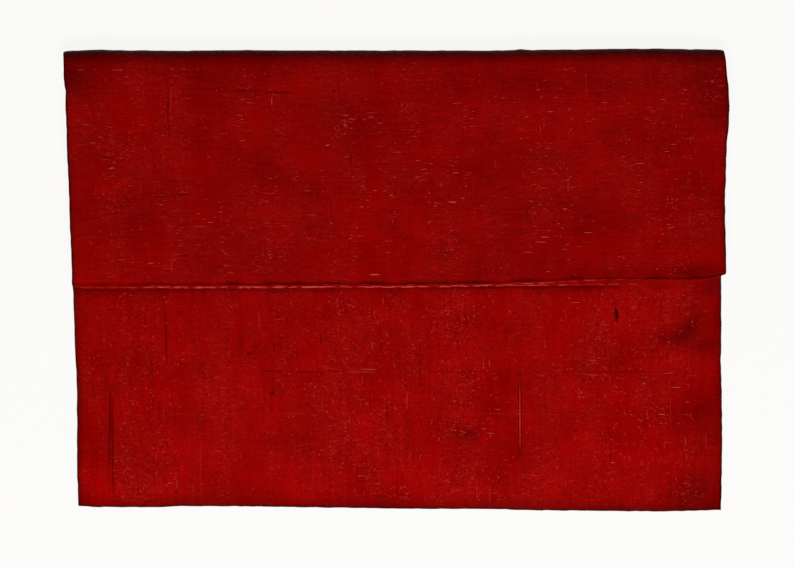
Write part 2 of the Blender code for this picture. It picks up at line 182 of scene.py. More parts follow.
# Fineness of the silk's mesh
SHOWN_STEP = 1.35 * MM
HIDDEN_STEP = 5.0 * MM
COLUMN_STEP = 2.6 * MM
HEM_STEP = 0.3 * MM
HEM_FINE = 6.0 * MM
FOLD_STEPS = 18
SIDE_COLUMNS = (0.0, 0.25, 0.6, 1.1, 1.8, 2.8, 4.0)
FOOT_ROWS = (0.0, 0.25, 0.6, 1.1, 1.8, 2.8, 4.0)
MOUTH_ROWS = (0.0, 0.2, 0.6, 1.5)
# The angle in degrees from which an edge is shaded sharp
SHARP_ANGLE = 50.0
# Rounds in which a named slub is moved to its place in the picture
PLACING_ROUNDS = 4
# Guards against a step too many by rounding, and against a division by nothing
ROUNDING = 1e-6
SHORTEST_NORMAL = 1e-12

# Sizes that follow from the ones above
LAYERS = SILK + CLEARANCE + LINING
TOP_Y = BAG_HEIGHT / 2
FOOT_Y = -BAG_HEIGHT / 2
MOUTH_Y = TOP_Y - MOUTH_BELOW_TOP
HEM_Y = TOP_Y - FLAP_LENGTH
FLAP_TOP = BODY_THICKNESS + FLAP_CLEARANCE + LAYERS
FOLD_RADIUS = (FLAP_TOP + FOLD_FULLNESS) / 2
FOLD_Y = TOP_Y - FOLD_RADIUS
BODY_HALF = MOUTH_WIDTH / 2
MAGNET_Y = HEM_Y + MAGNET_ABOVE_HEM
ROOM_SHARE = ROOM_HALF / (FOOT_WIDTH / 2 - LAYERS)
ROOM_BLEND_SHARE = ROOM_BLEND_ACROSS / BODY_HALF


def photo_place(pixel_x, pixel_y, height=CAMERA_PLANE):
    """The x and y in the bag's frame of a pixel of the photograph, at a height above the table."""
    centre_x, centre_y = BAG_CENTRE_PIXEL
    camera_x = (PHOTO_WIDTH / 2 - centre_x) * PIXEL
    camera_y = (centre_y - PHOTO_HEIGHT / 2) * PIXEL
    nearness = (CAMERA_HEIGHT - height) / (CAMERA_HEIGHT - CAMERA_PLANE)
    x = camera_x + ((pixel_x - centre_x) * PIXEL - camera_x) * nearness
    y = camera_y + ((centre_y - pixel_y) * PIXEL - camera_y) * nearness
    return x, y


def side_line(points, y, height):
    """The x of a side edge at heights y up the picture."""
    across, up = photo_place(*np.array(points).T, height)
    return np.interp(-y, -up, across)


def cross_line(points, x, height):
    """The y of an edge that runs across the picture, at places x."""
    across, up = photo_place(*np.array(points).T, height)
    return np.interp(x, across, up)


def ease(value):
    """0 to 1 with a level start and end."""
    t = np.clip(value, 0.0, 1.0)
    return t * t * (3 - 2 * t)


def turned(distance, width):
    """0 at an edge and 1 from width inwards, on a quarter round."""
    t = np.clip(distance / width, 0.0, 1.0)
    return np.sqrt(t * (2 - t))


def hill(offset):
    """A bell: 1 at its middle, falling off to both sides."""
    return np.exp(-(offset ** 2))


def pillow(distance):
    """The share of its full height that a panel has at a distance from its seam."""
    t = np.clip(distance / PILLOW_WIDTH, 0.0, 1.0)
    swell = 1 - (1 - t) ** PILLOW_POWER
    return PILLOW_SHARE * swell + (1 - PILLOW_SHARE) * turned(distance, TURN_WIDTH)


# An uneven field is a sum of this many waves, whose lengths vary by these shares
WAVES = 24
WAVE_PACES = (0.6, 1.5)


def wander(x, y, length_x, length_y, seed):
    """A smooth uneven field of about unit size, whose swells have about these lengths."""
    draw = np.random.default_rng(seed)
    total = 0.0
    for _ in range(WAVES):
        turn, phase = draw.uniform(0, math.tau, 2)
        pace = draw.uniform(*WAVE_PACES)
        across = math.cos(turn) * x / length_x + math.sin(turn) * y / length_y
        total = total + np.cos(math.tau * pace * across + phase)
    return total * math.sqrt(2 / WAVES)


def dents_at(dents, x, y):
    """The sum of soft dents and swells."""
    total = 0.0
    for centre_x, centre_y, along, across, angle, height in dents:
        turn = math.radians(angle)
        run = (x - centre_x) * math.cos(turn) + (y - centre_y) * math.sin(turn)
        rise = (y - centre_y) * math.cos(turn) - (x - centre_x) * math.sin(turn)
        total = total + height * hill(run / along) * hill(rise / across)
    return total


def magnet_room(u, y):
    """1 over the magnets, easing to 0 around them."""
    across = 1 - ease((np.abs(u) - ROOM_SHARE) / ROOM_BLEND_SHARE)
    along = 1 - ease((np.abs(y - MAGNET_Y) - ROOM_HALF) / ROOM_BLEND)
    return across * along


def seam_half(depth):
    """Half the height of the side seam, for a face at a depth in the cloth."""
    return SEAM_HALF - SEAM_NEST * depth


def edge_depth(depth, openness, free=0.0):
    """The depth of a face where the cloth turns under at an edge; openness is 0 at the edge.

    Free is 0 where the edge is sewn into the side seam and 1 where it is only turned under.
    """
    sewn = SEAM_HEIGHT - seam_half(depth)
    turned_depth = sewn + (FREE_TURN + FREE_NEST * depth - sewn) * free
    return depth + (turned_depth - depth) * (1 - openness)


def edge_wobble(u, along, seed):
    """The sewn edges run a little unevenly, each on its own."""
    left = wander(along, 0.0, EDGE_WOBBLE_LENGTH, 1.0, seed)
    right = wander(along, 0.0, EDGE_WOBBLE_LENGTH, 1.0, seed + 1)
    return EDGE_WOBBLE * np.abs(u) ** EDGE_REACH_POWER * np.where(u < 0, left, right)


def from_side_to_side(u, left, right, depth):
    """x across a panel between its two edges."""
    return left + depth + (right - left - 2 * depth) * (u + 1) / 2


def body_x(u, y, depth):
    """Across the pocket, from seam to seam."""
    left = side_line(BODY_LEFT, y, SEAM_HEIGHT)
    right = side_line(BODY_RIGHT, y, SEAM_HEIGHT)
    return from_side_to_side(u, left, right, depth) + edge_wobble(u, y, BODY_EDGE_SEED)


def flap_x(u, y, depth):
    """Across the flap, which is wider than the pocket because no seam draws it in."""
    left = side_line(FLAP_LEFT, y, FLAP_EDGE_HEIGHT)
    right = side_line(FLAP_RIGHT, y, FLAP_EDGE_HEIGHT)
    return from_side_to_side(u, left, right, depth) + edge_wobble(u, y, FLAP_EDGE_SEED)


def strip_x(u, run, y, depth):
    """Past the end of the side seam the strip flares from the pocket's width to the flap's."""
    flare = ease(run / (FOLD_Y - MOUTH_Y + math.pi / 2 * FOLD_RADIUS))
    narrow = body_x(u, np.full_like(run, MOUTH_Y), depth)
    return narrow + (flap_x(u, y, depth) - narrow) * flare


def side_openness(u, free=0.0):
    """0 at the side edges of the strip, 1 away from them."""
    width = TURN_WIDTH + (FREE_TURN_WIDTH - TURN_WIDTH) * free
    return turned(BODY_HALF * (1 - np.abs(u)), width)


def stacked(x, y, z):
    """Places from their three coordinates, each spread to the shape of the others."""
    return np.stack(np.broadcast_arrays(x, y, z), axis=-1)


def drooped(places):
    """The fold sags at its ends, the right one most, where nothing fills the corner."""
    right = ease(1 - (FLAP_FOLD_WIDTH / 2 - places[..., 0]) / CORNER_DROOP_REACH)
    left = ease(1 - (FLAP_FOLD_WIDTH / 2 + places[..., 0]) / LEFT_DROOP_REACH)
    down = ease(1 - (FOLD_Y - places[..., 1]) / CORNER_DROOP_DOWN)
    left_down = ease(1 - (FOLD_Y - places[..., 1]) / LEFT_DROOP_DOWN)
    places[..., 2] *= 1 - CORNER_DROOP * right * down - LEFT_DROOP * left * left_down
    return places


def front_places(u, y, depth, lift):
    """The front panel; y is its rows, from the mouth to the foot."""
    foot_share = np.clip(y / FOOT_Y, 0.0, 1.0)
    mouth_share = 1 - np.clip((MOUTH_Y - y) / PILLOW_WIDTH, 0.0, 1.0)
    x = body_x(u, y, depth)
    place_y = y + (depth + foot_offset(x)) * foot_share - depth * mouth_share
    slack = LOWER_SLACK * ease(-y / LOWER_SLACK_LENGTH)
    height = BODY_THICKNESS - slack + lift * magnet_room(u, y) + dents_at(FRONT_DENTS, x, y)
    ripple = wander(x, y, PANEL_RIPPLE_LENGTH, PANEL_RIPPLE_LENGTH, FRONT_RIPPLE_SEED)
    height = height + PANEL_RIPPLE * ripple
    seam_top = SEAM_HEIGHT + seam_half(depth)
    swell = pillow(BODY_HALF * (1 - np.abs(u))) * pillow(y - FOOT_Y)
    rise = height - edge_depth(depth, turned(MOUTH_Y - y, MOUTH_TURN)) - seam_top
    return stacked(x, place_y, seam_top + rise * swell)


def foot_offset(x):
    """How far the foot fold runs off its straight line."""
    uneven = EDGE_WOBBLE * wander(x, 0.0, EDGE_WOBBLE_LENGTH, 1.0, FOOT_EDGE_SEED)
    return cross_line(FOOT_LINE, x, SEAM_HEIGHT) - FOOT_Y + uneven


def back_places(u, y, depth):
    """The back panel, which lies on the table up to its turned edges."""
    foot_share = np.clip(y / FOOT_Y, 0.0, 1.0)
    x = np.where(y > MOUTH_Y, strip_x(u, y - MOUTH_Y, y, depth), body_x(u, y, depth))
    place_y = y + (depth + foot_offset(x)) * foot_share
    openness = side_openness(u) * turned(y - FOOT_Y, TURN_WIDTH)
    return stacked(x, place_y, edge_depth(depth, openness))


def fold_places(u, angle, depth):
    """The top fold; the angle runs from -90 degrees below to 90 above."""
    run = FOLD_Y - MOUTH_Y + (angle + math.pi / 2) * FOLD_RADIUS
    free = ease(1 + angle / (math.pi / 2))
    radius = FOLD_RADIUS - edge_depth(depth, side_openness(u, free), free)
    x = strip_x(u, run, FOLD_Y + radius * np.cos(angle), depth)
    swell = cross_line(TOP_LINE, x, FOLD_HEIGHT) - TOP_Y
    swell = swell + EDGE_WOBBLE * wander(x, 0.0, EDGE_WOBBLE_LENGTH, 1.0, TOP_EDGE_SEED)
    y = FOLD_Y + (radius + swell) * np.cos(angle)
    return drooped(stacked(x, y, FOLD_RADIUS + radius * np.sin(angle)))


def flap_places(u, y, depth, lift):
    """The flap; y is its rows at the middle, from the fold to the hem."""
    from_hem = y - HEM_Y
    hem_share = 1 - np.clip(from_hem / (MAGNET_ABOVE_HEM - ROOM_HALF), 0.0, 1.0)
    x = flap_x(u, y, depth)
    rise = cross_line(HEM_LINE, x, FLAP_EDGE_HEIGHT) - HEM_Y
    place_y = y + (rise + depth) * hem_share
    cut = np.clip(1 - from_hem / HEM_CORNER, 0.0, 1.0)
    inset = HEM_CORNER * (1 - np.sqrt(1 - cut ** 2)) * np.abs(u) ** EDGE_REACH_POWER
    x = flap_x(u, place_y, depth) - np.sign(u) * inset
    settle = ease((FOLD_Y - y) / FLAP_SETTLES)
    height = 2 * FOLD_RADIUS - FOLD_FULLNESS * settle
    height = height - FLAP_SIDE_DROP * settle * (1 - pillow(BODY_HALF * (1 - np.abs(u))))
    height = height + lift * magnet_room(u, y) + dents_at(FLAP_DENTS, x, y) * settle
    ripple = wander(x, y, PANEL_RIPPLE_LENGTH, PANEL_RIPPLE_LENGTH, FLAP_RIPPLE_SEED)
    height = height + PANEL_RIPPLE * settle * ripple
    openness = side_openness(u, 1.0) * turned(from_hem, HEM_TURN)
    z = height - edge_depth(depth, openness, 1.0)
    if depth < SILK:
        z = z + hem_bead(x, from_hem)
    return drooped(stacked(x, place_y, z))


def hem_bead(x, from_hem):
    """The rolled bead along the hem, with the stitched groove behind it; both run unevenly."""
    width = bead_width(x)
    bead = np.clip(from_hem / width, 0.0, 1.0)
    groove = np.clip((from_hem - width * HEM_GROOVE_START) / HEM_GROOVE_WIDTH, 0.0, 1.0)
    pucker = 1 + HEM_PUCKER * wander(x, 0.0, HEM_PUCKER_LENGTH, 1.0, PUCKER_SEED)
    deep = 1 + 2 * HEM_PUCKER * wander(x, 0.0, 2 * HEM_PUCKER_LENGTH, 1.0, GROOVE_SEED)
    flatter = np.minimum(HEM_BEAD_WIDTH / width, width / HEM_BEAD_WIDTH)
    round_top = np.sin(math.pi * bead ** (1 + HEM_BEAD_LEAN * hem_widened(x)))
    rise = HEM_BEAD_HEIGHT * round_top * pucker * flatter * hem_shows(x)
    return rise - HEM_GROOVE_DEPTH * np.sin(math.pi * groove) * np.clip(deep, *HEM_GROOVE_SHARES)


def bead_width(x):
    """The roll of the hem widens towards the right and runs out at the corner."""
    left_share = HEM_LEFT_NARROW + (1 - HEM_LEFT_NARROW) * hem_shows(x)
    widened = HEM_BEAD_WIDTH * left_share + HEM_BEAD_WIDENS * hem_widened(x)
    run_out = np.clip((x - HEM_NARROWS_FROM) / (HEM_NARROWS_TO - HEM_NARROWS_FROM), 0.0, 1.0)
    return HEM_NARROWED + (widened - HEM_NARROWED) * np.sqrt(1 - run_out)


def hem_widened(x):
    """1 where the roll of the hem has its full extra width, at the right."""
    return ease((x - HEM_WIDENS_FROM) / (HEM_WIDENS_TO - HEM_WIDENS_FROM))


def hem_faded(x):
    """1 where the lower line of the hem has faded out, at the right."""
    return ease((x - HEM_FADES_FROM) / (HEM_FADES_TO - HEM_FADES_FROM))


def hem_shows(x):
    """How plainly the rolled edge is worked: at the left end it is nearly flat."""
    share = ease((x - HEM_SHOWS_FROM) / (HEM_SHOWS_TO - HEM_SHOWS_FROM))
    return HEM_LEFT_SHARE + (1 - HEM_LEFT_SHARE) * share


def filled_in(keys, step):
    """The keys, with even steps no longer than step put between them."""
    places = [keys[0]]
    for start, end in zip(keys, keys[1:]):
        count = max(1, math.ceil(abs(end - start) / step - ROUNDING))
        places += [start + (end - start) * n / count for n in range(1, count + 1)]
    return places


def columns():
    """The places across the strip, from -1 at one edge to 1 at the other."""
    side = [1 - distance * MM / BODY_HALF for distance in SIDE_COLUMNS]
    half = filled_in([0.0, side[-1]], COLUMN_STEP / BODY_HALF) + side[-2::-1]
    return np.array([-u for u in half[:0:-1]] + half)


def panel_rows():
    """The rows of the front and the back, from the mouth to the foot."""
    mouth = [MOUTH_Y - distance * MM for distance in MOUTH_ROWS]
    foot = [FOOT_Y + distance * MM for distance in FOOT_ROWS[::-1]]
    hidden = filled_in([mouth[-1], HEM_Y + HEM_FINE], HIDDEN_STEP)
    shown = filled_in([hidden[-1], foot[0]], SHOWN_STEP)
    return np.array(mouth + hidden[1:] + shown[1:] + foot[1:])


def flap_rows():
    """The rows of the flap, from the fold to the hem."""
    upper = filled_in([FOLD_Y, HEM_Y + HEM_FINE], SHOWN_STEP)
    hem = filled_in([HEM_Y + HEM_FINE, HEM_Y], HEM_STEP)
    return np.array(upper[1:] + hem[1:])


# Painted shade and light on the silk, darker in dents, creases, corners and under the hem and lighter on
# swells: x, y, reach along, reach across, angle in degrees, change of the share of light
FRONT_SHADES = (
    (128.6 * MM, -20.3 * MM, 8.5 * MM, 4.6 * MM, 50.0, -0.52),
    (118.6 * MM, -25.5 * MM, 7.0 * MM, 3.2 * MM, 12.0, -0.38),
    (135.0 * MM, -29.5 * MM, 7.0 * MM, 4.0 * MM, 0.0, -0.34),
    (137.0 * MM, -2.0 * MM, 7.0 * MM, 6.0 * MM, 0.0, -0.3),
    (134.0 * MM, -40.0 * MM, 10.0 * MM, 6.0 * MM, 10.0, -0.1),
    (-141.0 * MM, -50.0 * MM, 5.0 * MM, 40.0 * MM, 0.0, -0.08),
    (134.0 * MM, -57.0 * MM, 9.0 * MM, 9.0 * MM, 0.0, -0.22),
    (134.0 * MM, -92.0 * MM, 14.0 * MM, 9.0 * MM, 0.0, -0.32),
    (112.0 * MM, -41.0 * MM, 22.0 * MM, 5.0 * MM, 16.0, 0.1),
    (31.6 * MM, -67.2 * MM, 5.6 * MM, 2.8 * MM, 8.0, -0.48),
    (30.4 * MM, -49.0 * MM, 14.0 * MM, 7.0 * MM, 0.0, 0.1),
    (19.0 * MM, -66.5 * MM, 10.0 * MM, 6.0 * MM, 0.0, -0.1),
    (85.0 * MM, -3.6 * MM, 14.0 * MM, 1.4 * MM, 0.0, -0.22),
    (117.0 * MM, -3.2 * MM, 5.0 * MM, 1.2 * MM, 0.0, -0.25),
    (125.0 * MM, -90.0 * MM, 30.0 * MM, 12.0 * MM, 0.0, -0.08),
    (-124.5 * MM, -66.0 * MM, 2.6 * MM, 22.0 * MM, 0.0, -0.12),
    (-128.0 * MM, -4.6 * MM, 11.0 * MM, 2.4 * MM, 0.0, -0.22),
    (-94.0 * MM, -4.4 * MM, 13.0 * MM, 1.8 * MM, 0.0, -0.18),
    (-52.0 * MM, -4.9 * MM, 8.0 * MM, 1.9 * MM, 0.0, -0.2),
    (37.0 * MM, -4.6 * MM, 7.0 * MM, 2.0 * MM, 0.0, -0.2),
    (62.0 * MM, -4.2 * MM, 6.0 * MM, 1.6 * MM, 0.0, -0.18),
)
FLAP_SHADES = (
    (-141.0 * MM, 90.0 * MM, 9.0 * MM, 11.0 * MM, 0.0, -0.42),
    (-60.0 * MM, 92.5 * MM, 60.0 * MM, 4.5 * MM, 0.0, -0.12),
    (139.0 * MM, 92.0 * MM, 13.0 * MM, 20.0 * MM, 0.0, -0.25),
    (128.5 * MM, 3.8 * MM, 12.0 * MM, 3.6 * MM, 6.0, -0.36),
    (60.0 * MM, 86.0 * MM, 45.0 * MM, 7.0 * MM, 0.0, -0.12),
    (98.0 * MM, 3.6 * MM, 26.0 * MM, 3.2 * MM, 0.0, -0.16),
    (106.0 * MM, 17.0 * MM, 22.0 * MM, 6.0 * MM, 0.0, 0.07),
    (-30.0 * MM, 22.0 * MM, 24.0 * MM, 9.0 * MM, 0.0, 0.09),
    (-118.0 * MM, 14.0 * MM, 22.0 * MM, 9.0 * MM, 0.0, 0.08),
    (-126.5 * MM, -1.7 * MM, 3.2 * MM, 0.9 * MM, 0.0, -0.34),
    (-118.5 * MM, -1.9 * MM, 5.0 * MM, 0.8 * MM, 0.0, -0.2),
)
# How much darker the whole flap is, and painted shade along the fold, foot, hem, groove, sides and
# rim: the share of light there, each with how far it reaches; the groove's share comes and goes between
# its limits
FLAP_TONE = 0.86
FOLD_TONE = 0.62
FOLD_SHADE_REACH = 4.2 * MM
FOOT_TONE = 0.56
FOOT_SHADE_REACH = 4.5 * MM
UNDER_HEM_TONE = 0.84
UNDER_HEM_REACH = 3.0 * MM
HEM_SHADOW_TONE = 0.38
HEM_SHADOW_REACH = 0.7 * MM
GROOVE_TONE = 0.62
GROOVE_SHARE = 0.75
GROOVE_SWING = 0.45
GROOVE_SHARES = (0.1, 1.3)
GROOVE_REACH_BELOW = 0.5 * MM
GROOVE_REACH_ABOVE = 1.6 * MM
EDGE_TONE = 0.82
EDGE_SHADE_REACH = 2.4 * MM
RIM_TONE = 0.04
RIM_REACH = 0.7 * MM


def painted_shading(strip):
    """Painted shade and light in the silk's colour: shade along the fold, rim, sides, foot and hem, in the
    groove and in dents and creases, lighter on swells; the whole flap a little darker.
    """
    places = strip.places
    x, y = places[..., 0], places[..., 1]
    rows = np.arange(len(places))[:, None]
    on_flap = rows >= strip.flap_start - FOLD_STEPS // 2
    below_hem = cross_line(HEM_LINE, x, FLAP_EDGE_HEIGHT) - y
    front = 1 + dents_at(FRONT_SHADES, x, y)
    under = darkened(below_hem, UNDER_HEM_TONE, UNDER_HEM_REACH)
    under = under * darkened(below_hem, HEM_SHADOW_TONE, HEM_SHADOW_REACH)
    front = front * (under + (1 - under) * hem_faded(x))
    over_bead = -below_hem - bead_width(x)
    reach = np.where(over_bead < 0, GROOVE_REACH_BELOW, GROOVE_REACH_ABOVE)
    uneven = GROOVE_SHARE + GROOVE_SWING * wander(x, 0.0, 2 * HEM_PUCKER_LENGTH, 1.0, GROOVE_SEED)
    groove_tone = 1 - (1 - GROOVE_TONE) * np.clip(uneven, *GROOVE_SHARES) * hem_shows(x)
    flap = FLAP_TONE * (1 + dents_at(FLAP_SHADES, x, y)) * darkened(over_bead, groove_tone, reach)
    to_top = TOP_Y - y
    fold = darkened(to_top, FOLD_TONE, FOLD_SHADE_REACH) * darkened(to_top, RIM_TONE, RIM_REACH)
    shade = np.where(on_flap, flap * fold, front)
    to_side = BODY_HALF - np.abs(strip.across)[None, :]
    side = darkened(to_side, EDGE_TONE, EDGE_SHADE_REACH) * darkened(to_side, RIM_TONE, RIM_REACH)
    to_foot = y - cross_line(FOOT_LINE, x, SEAM_HEIGHT)
    foot = darkened(to_foot, FOOT_TONE, FOOT_SHADE_REACH) * darkened(to_foot, RIM_TONE, RIM_REACH)
    return shade * side * foot


def flap_share(strip):
    """0 on the pocket and 1 on the flap, rising round the top fold."""
    rows = np.arange(len(strip.places)) - strip.flap_start + FOLD_STEPS
    return np.repeat(ease(rows / FOLD_STEPS)[:, None], len(strip.across), axis=1)


def darkened(distance, tone, reach):
    """The tone at a line, rising to 1 away from it."""
    return 1 - (1 - tone) * hill(distance / reach)


class Strip:
    """One face of a cloth as rows of places, from the mouth round to the hem."""

    def __init__(self, depth, flap_lift, front_lift):
        """The face at a depth in the cloth, raised by the lifts over the magnets."""
        u = columns()[None, :]
        panel = panel_rows()[:, None]
        neck = np.array(filled_in([MOUTH_Y, FOLD_Y], SHOWN_STEP)[1:])[:, None]
        angles = np.linspace(-math.pi / 2, math.pi / 2, FOLD_STEPS + 1)[1:, None]
        flap = flap_rows()[:, None]
        parts = [
            front_places(u, panel, depth, front_lift),
            back_places(u, panel[::-1], depth),
            back_places(u, neck, depth),
            fold_places(u, angles, depth),
            flap_places(u, flap, depth, flap_lift),
        ]
        self.places = np.concatenate(parts)
        self.seam_rows = len(panel)
        self.front_y = panel[:, 0]
        self.flap_y = flap[:, 0]
        self.flap_start = len(self.places) - len(flap)
        across = np.gradient(self.places, axis=1)
        down = np.gradient(self.places, axis=0)
        normal = np.cross(down, across)
        size = np.linalg.norm(normal, axis=-1, keepdims=True)
        self.normals = normal / np.maximum(size, SHORTEST_NORMAL)
        middle = self.places[:, self.places.shape[1] // 2]
        steps = np.linalg.norm(np.diff(middle, axis=0), axis=1)
        self.run = np.concatenate([[0.0], np.cumsum(steps)])
        self.across = columns() * BODY_HALF

    def rows_at(self, part, y):
        """The rows, with fractions, of heights y on the flap or the front."""
        if part == "flap":
            rows = self.flap_start + np.arange(len(self.flap_y))
            return np.interp(-y, -self.flap_y, rows)
        return np.interp(-y, -self.front_y, np.arange(self.seam_rows))

    def settings_for(self, part, x, y):
        """The x and y to ask rows_at and at for, so that a thread lies at a place in the picture."""
        ask_x, ask_y = x, y
        for _ in range(PLACING_ROUNDS):
            place = self.at(self.rows_at(part, np.array([ask_y])), np.array([ask_x]))[0][0]
            ask_x, ask_y = ask_x + x - place[0], ask_y + y - place[1]
        return ask_x, ask_y

    def at(self, rows, x):
        """Places and normals at fractional rows and distances across."""
        columns_at = np.interp(x, self.across, np.arange(len(self.across)))
        row = np.clip(np.floor(rows).astype(int), 0, len(self.places) - 2)
        column = np.clip(np.floor(columns_at).astype(int), 0, len(self.across) - 2)
        down = (rows - row)[..., None]
        along = (columns_at - column)[..., None]
        found = []
        for grid in (self.places, self.normals):
            upper = grid[row, column] * (1 - along) + grid[row, column + 1] * along
            lower = grid[row + 1, column] * (1 - along) + grid[row + 1, column + 1] * along
            found.append(upper * (1 - down) + lower * down)
        return found


def grid_faces(first, rows, count, flip):
    """Quads between rows of vertices that are numbered from first."""
    corner = first + np.arange(rows - 1)[:, None] * count + np.arange(count - 1)[None, :]
    quads = np.stack([corner, corner + count, corner + count + 1, corner + 1], axis=-1)
    quads = quads.reshape(-1, 4)
    return quads[:, ::-1] if flip else quads


def sewn_faces(rows, count, seam_rows):
    """The faces of a cloth's solid: both faces, its turned ends and its sides."""
    inner = rows * count
    number = np.arange(2 * rows * count).reshape(2, rows, count)
    outer_grid, inner_grid = number
    faces = [grid_faces(0, rows, count, False), grid_faces(inner, rows, count, True)]
    for row, flip in ((0, False), (rows - 1, True)):
        rim = np.stack([
            outer_grid[row, :-1], outer_grid[row, 1:], inner_grid[row, 1:], inner_grid[row, :-1],
        ], axis=-1)
        faces.append(rim[:, ::-1] if flip else rim)
    start = 2 * seam_rows - 1
    for side in (0, count - 1):
        flip = side == 0
        strip = np.stack([
            outer_grid[start:-1, side], outer_grid[start + 1:, side],
            inner_grid[start + 1:, side], inner_grid[start:-1, side],
        ], axis=-1)
        back = start - np.arange(seam_rows)
        front = np.arange(seam_rows)
        keep = np.arange(seam_rows - 2)
        outer_wall = np.stack([
            outer_grid[front[keep], side], outer_grid[front[keep + 1], side],
            outer_grid[back[keep + 1], side], outer_grid[back[keep], side],
        ], axis=-1)
        inner_wall = np.stack([
            inner_grid[back[keep], side], inner_grid[back[keep + 1], side],
            inner_grid[front[keep + 1], side], inner_grid[front[keep], side],
        ], axis=-1)
        last = seam_rows - 2
        ends = np.array([
            [outer_grid[last, side], outer_grid[last + 1, side],
             outer_grid[back[last + 1], side], outer_grid[back[last], side]],
            [inner_grid[back[last], side], inner_grid[back[last + 1], side],
             inner_grid[last + 1, side], inner_grid[last, side]],
            [outer_grid[0, side], outer_grid[back[0], side],
             inner_grid[back[0], side], inner_grid[0, side]],
        ])
        for part in (strip, outer_wall, inner_wall, ends):
            faces.append(part[:, ::-1] if flip else part)
    return np.concatenate(faces)


def mesh_piece(name, places, faces, finish):
    """An object from arrays of places and faces, shaded smooth."""
    data = bpy.data.meshes.new(name)
    data.from_pydata(places.tolist(), [], faces)
    data.update()
    data.shade_smooth()
    data.materials.append(finish)
    piece = bpy.data.objects.new(name, data)
    bpy.context.scene.collection.objects.link(piece)
    return piece


def keep_number(piece, name, numbers):
    """One number for each vertex, which the finish reads by its name."""
    attribute = piece.data.attributes.new(name, "FLOAT", "POINT")
    attribute.data.foreach_set("value", numbers.astype(np.float32).ravel())


def sewn_cloth(name, outer, inner, finish):
    """One cloth of the bag as a closed solid, with the place of each point along its threads."""
    rows, count = outer.places.shape[:2]
    places = np.concatenate([outer.places.reshape(-1, 3), inner.places.reshape(-1, 3)])
    across, run = np.meshgrid(outer.across, outer.run)
    one_face = stacked(across, run, np.zeros_like(run)).reshape(-1, 3)
    other_face = one_face + np.array([0.0, 0.0, SILK])
    piece = mesh_piece(name, places, sewn_faces(rows, count, outer.seam_rows).tolist(), finish)
    attribute = piece.data.attributes.new("thread_place", "FLOAT_VECTOR", "POINT")
    both_faces = np.concatenate([one_face, other_face])
    attribute.data.foreach_set("vector", both_faces.astype(np.float32).ravel())
    # Painted shade and light, kept on each vertex for the finish to read
    keep_number(piece, "painted_shading", np.stack([painted_shading(outer)] * 2))
    keep_number(piece, "flap_share", np.stack([flap_share(outer)] * 2))
    piece.data.set_sharp_from_angle(angle=math.radians(SHARP_ANGLE))
    return piece


# Raised threads on the silk: rings round a path, half sunk in the cloth, thinner to their ends
THREAD_SIDES = 5
TAPER_POWER = 0.6
TAPER_END = 0.08
# How far a thread drifts off its line from its middle to its end
WEFT_DRIFT = 0.05 * MM
WARP_DRIFT = 0.12 * MM


def thread_rings(places, normals, width, height):
    """Rings of points round several paths of equal length; width and height taper to their ends."""
    along = np.gradient(places, axis=1)
    side = np.cross(along, normals)
    side /= np.maximum(np.linalg.norm(side, axis=-1, keepdims=True), SHORTEST_NORMAL)
    rings = []
    for n in range(THREAD_SIDES):
        turn = math.tau * n / THREAD_SIDES + math.pi / 2
        out = normals * (math.sin(turn) * height)[..., None]
        rings.append(places + out + side * (math.cos(turn) * width)[..., None])
    return np.stack(rings, axis=2)


def thread_mesh(groups):
    """Places, faces and tones of all threads of several groups of (rings, tone of each thread)."""
    places = []
    faces = []
    tones = []
    first = 0
    for rings, tone in groups:
        threads, steps, sides = rings.shape[:3]
        number = first + np.arange(threads * steps * sides).reshape(threads, steps, sides)
        next_side = np.roll(number, -1, axis=2)
        quads = np.stack([
            number[:, :-1], next_side[:, :-1], next_side[:, 1:], number[:, 1:],
        ], axis=-1).reshape(-1, 4)
        places.append(rings.reshape(-1, 3))
        tones.append(np.repeat(tone, steps * sides))
        faces += quads.tolist()
        faces += number[:, 0, ::-1].tolist()
        faces += number[:, -1].tolist()
        first += threads * steps * sides
    return np.concatenate(places), faces, np.concatenate(tones)


def taper(steps):
    """The share of its full thickness that a slub has along its length."""
    share = np.linspace(0.0, 1.0, steps)
    thick = np.clip(np.sin(math.pi * share), 0.0, 1.0) ** TAPER_POWER
    return thick * (1 - TAPER_END) + TAPER_END


def weft_threads(strip, part, x, y, length, width, height, steps, draw):
    """Slubs that run across the cloth, each at its own middle x and y."""
    share = np.linspace(-0.5, 0.5, steps)[None, :]
    drift = draw.normal(0.0, WEFT_DRIFT, (len(x), 1)) * share * 2
    run_x = x[:, None] + length[:, None] * share
    rows = strip.rows_at(part, y[:, None] + drift)
    places, normals = strip.at(rows, run_x)
    thickness = taper(steps)[None, :]
    return thread_rings(places, normals, width[:, None] * thickness, height[:, None] * thickness)


def warp_threads(strip, part, x, y, length, width, height, steps, draw):
    """Slubs that run along the cloth, each at its own middle x and y."""
    share = np.linspace(-0.5, 0.5, steps)[None, :]
    drift = draw.normal(0.0, WARP_DRIFT, (len(x), 1)) * share * 2
    rows = strip.rows_at(part, y[:, None] + length[:, None] * share)
    places, normals = strip.at(rows, x[:, None] + drift)
    thickness = taper(steps)[None, :]
    return thread_rings(places, normals, width[:, None] * thickness, height[:, None] * thickness)


# Streams down the cloth in which slubs gather, and how they gather
FLAP_STREAMS = (-114 * MM, -62 * MM, -13 * MM, 24 * MM, 66 * MM, 118 * MM)
FRONT_STREAMS = (-110 * MM, -30 * MM, -12 * MM, 18 * MM, 34 * MM, 88 * MM, 112 * MM)
STREAM_SPREAD = 9 * MM
STREAM_SHARE = 0.6
# Slubs in a stack: how they spread, and the most in one
STACK_SPREAD = 1.6 * MM
STACK_STEP = 1.5 * MM
LARGEST_STACK = 8
SIDE_MARGIN = 3 * MM
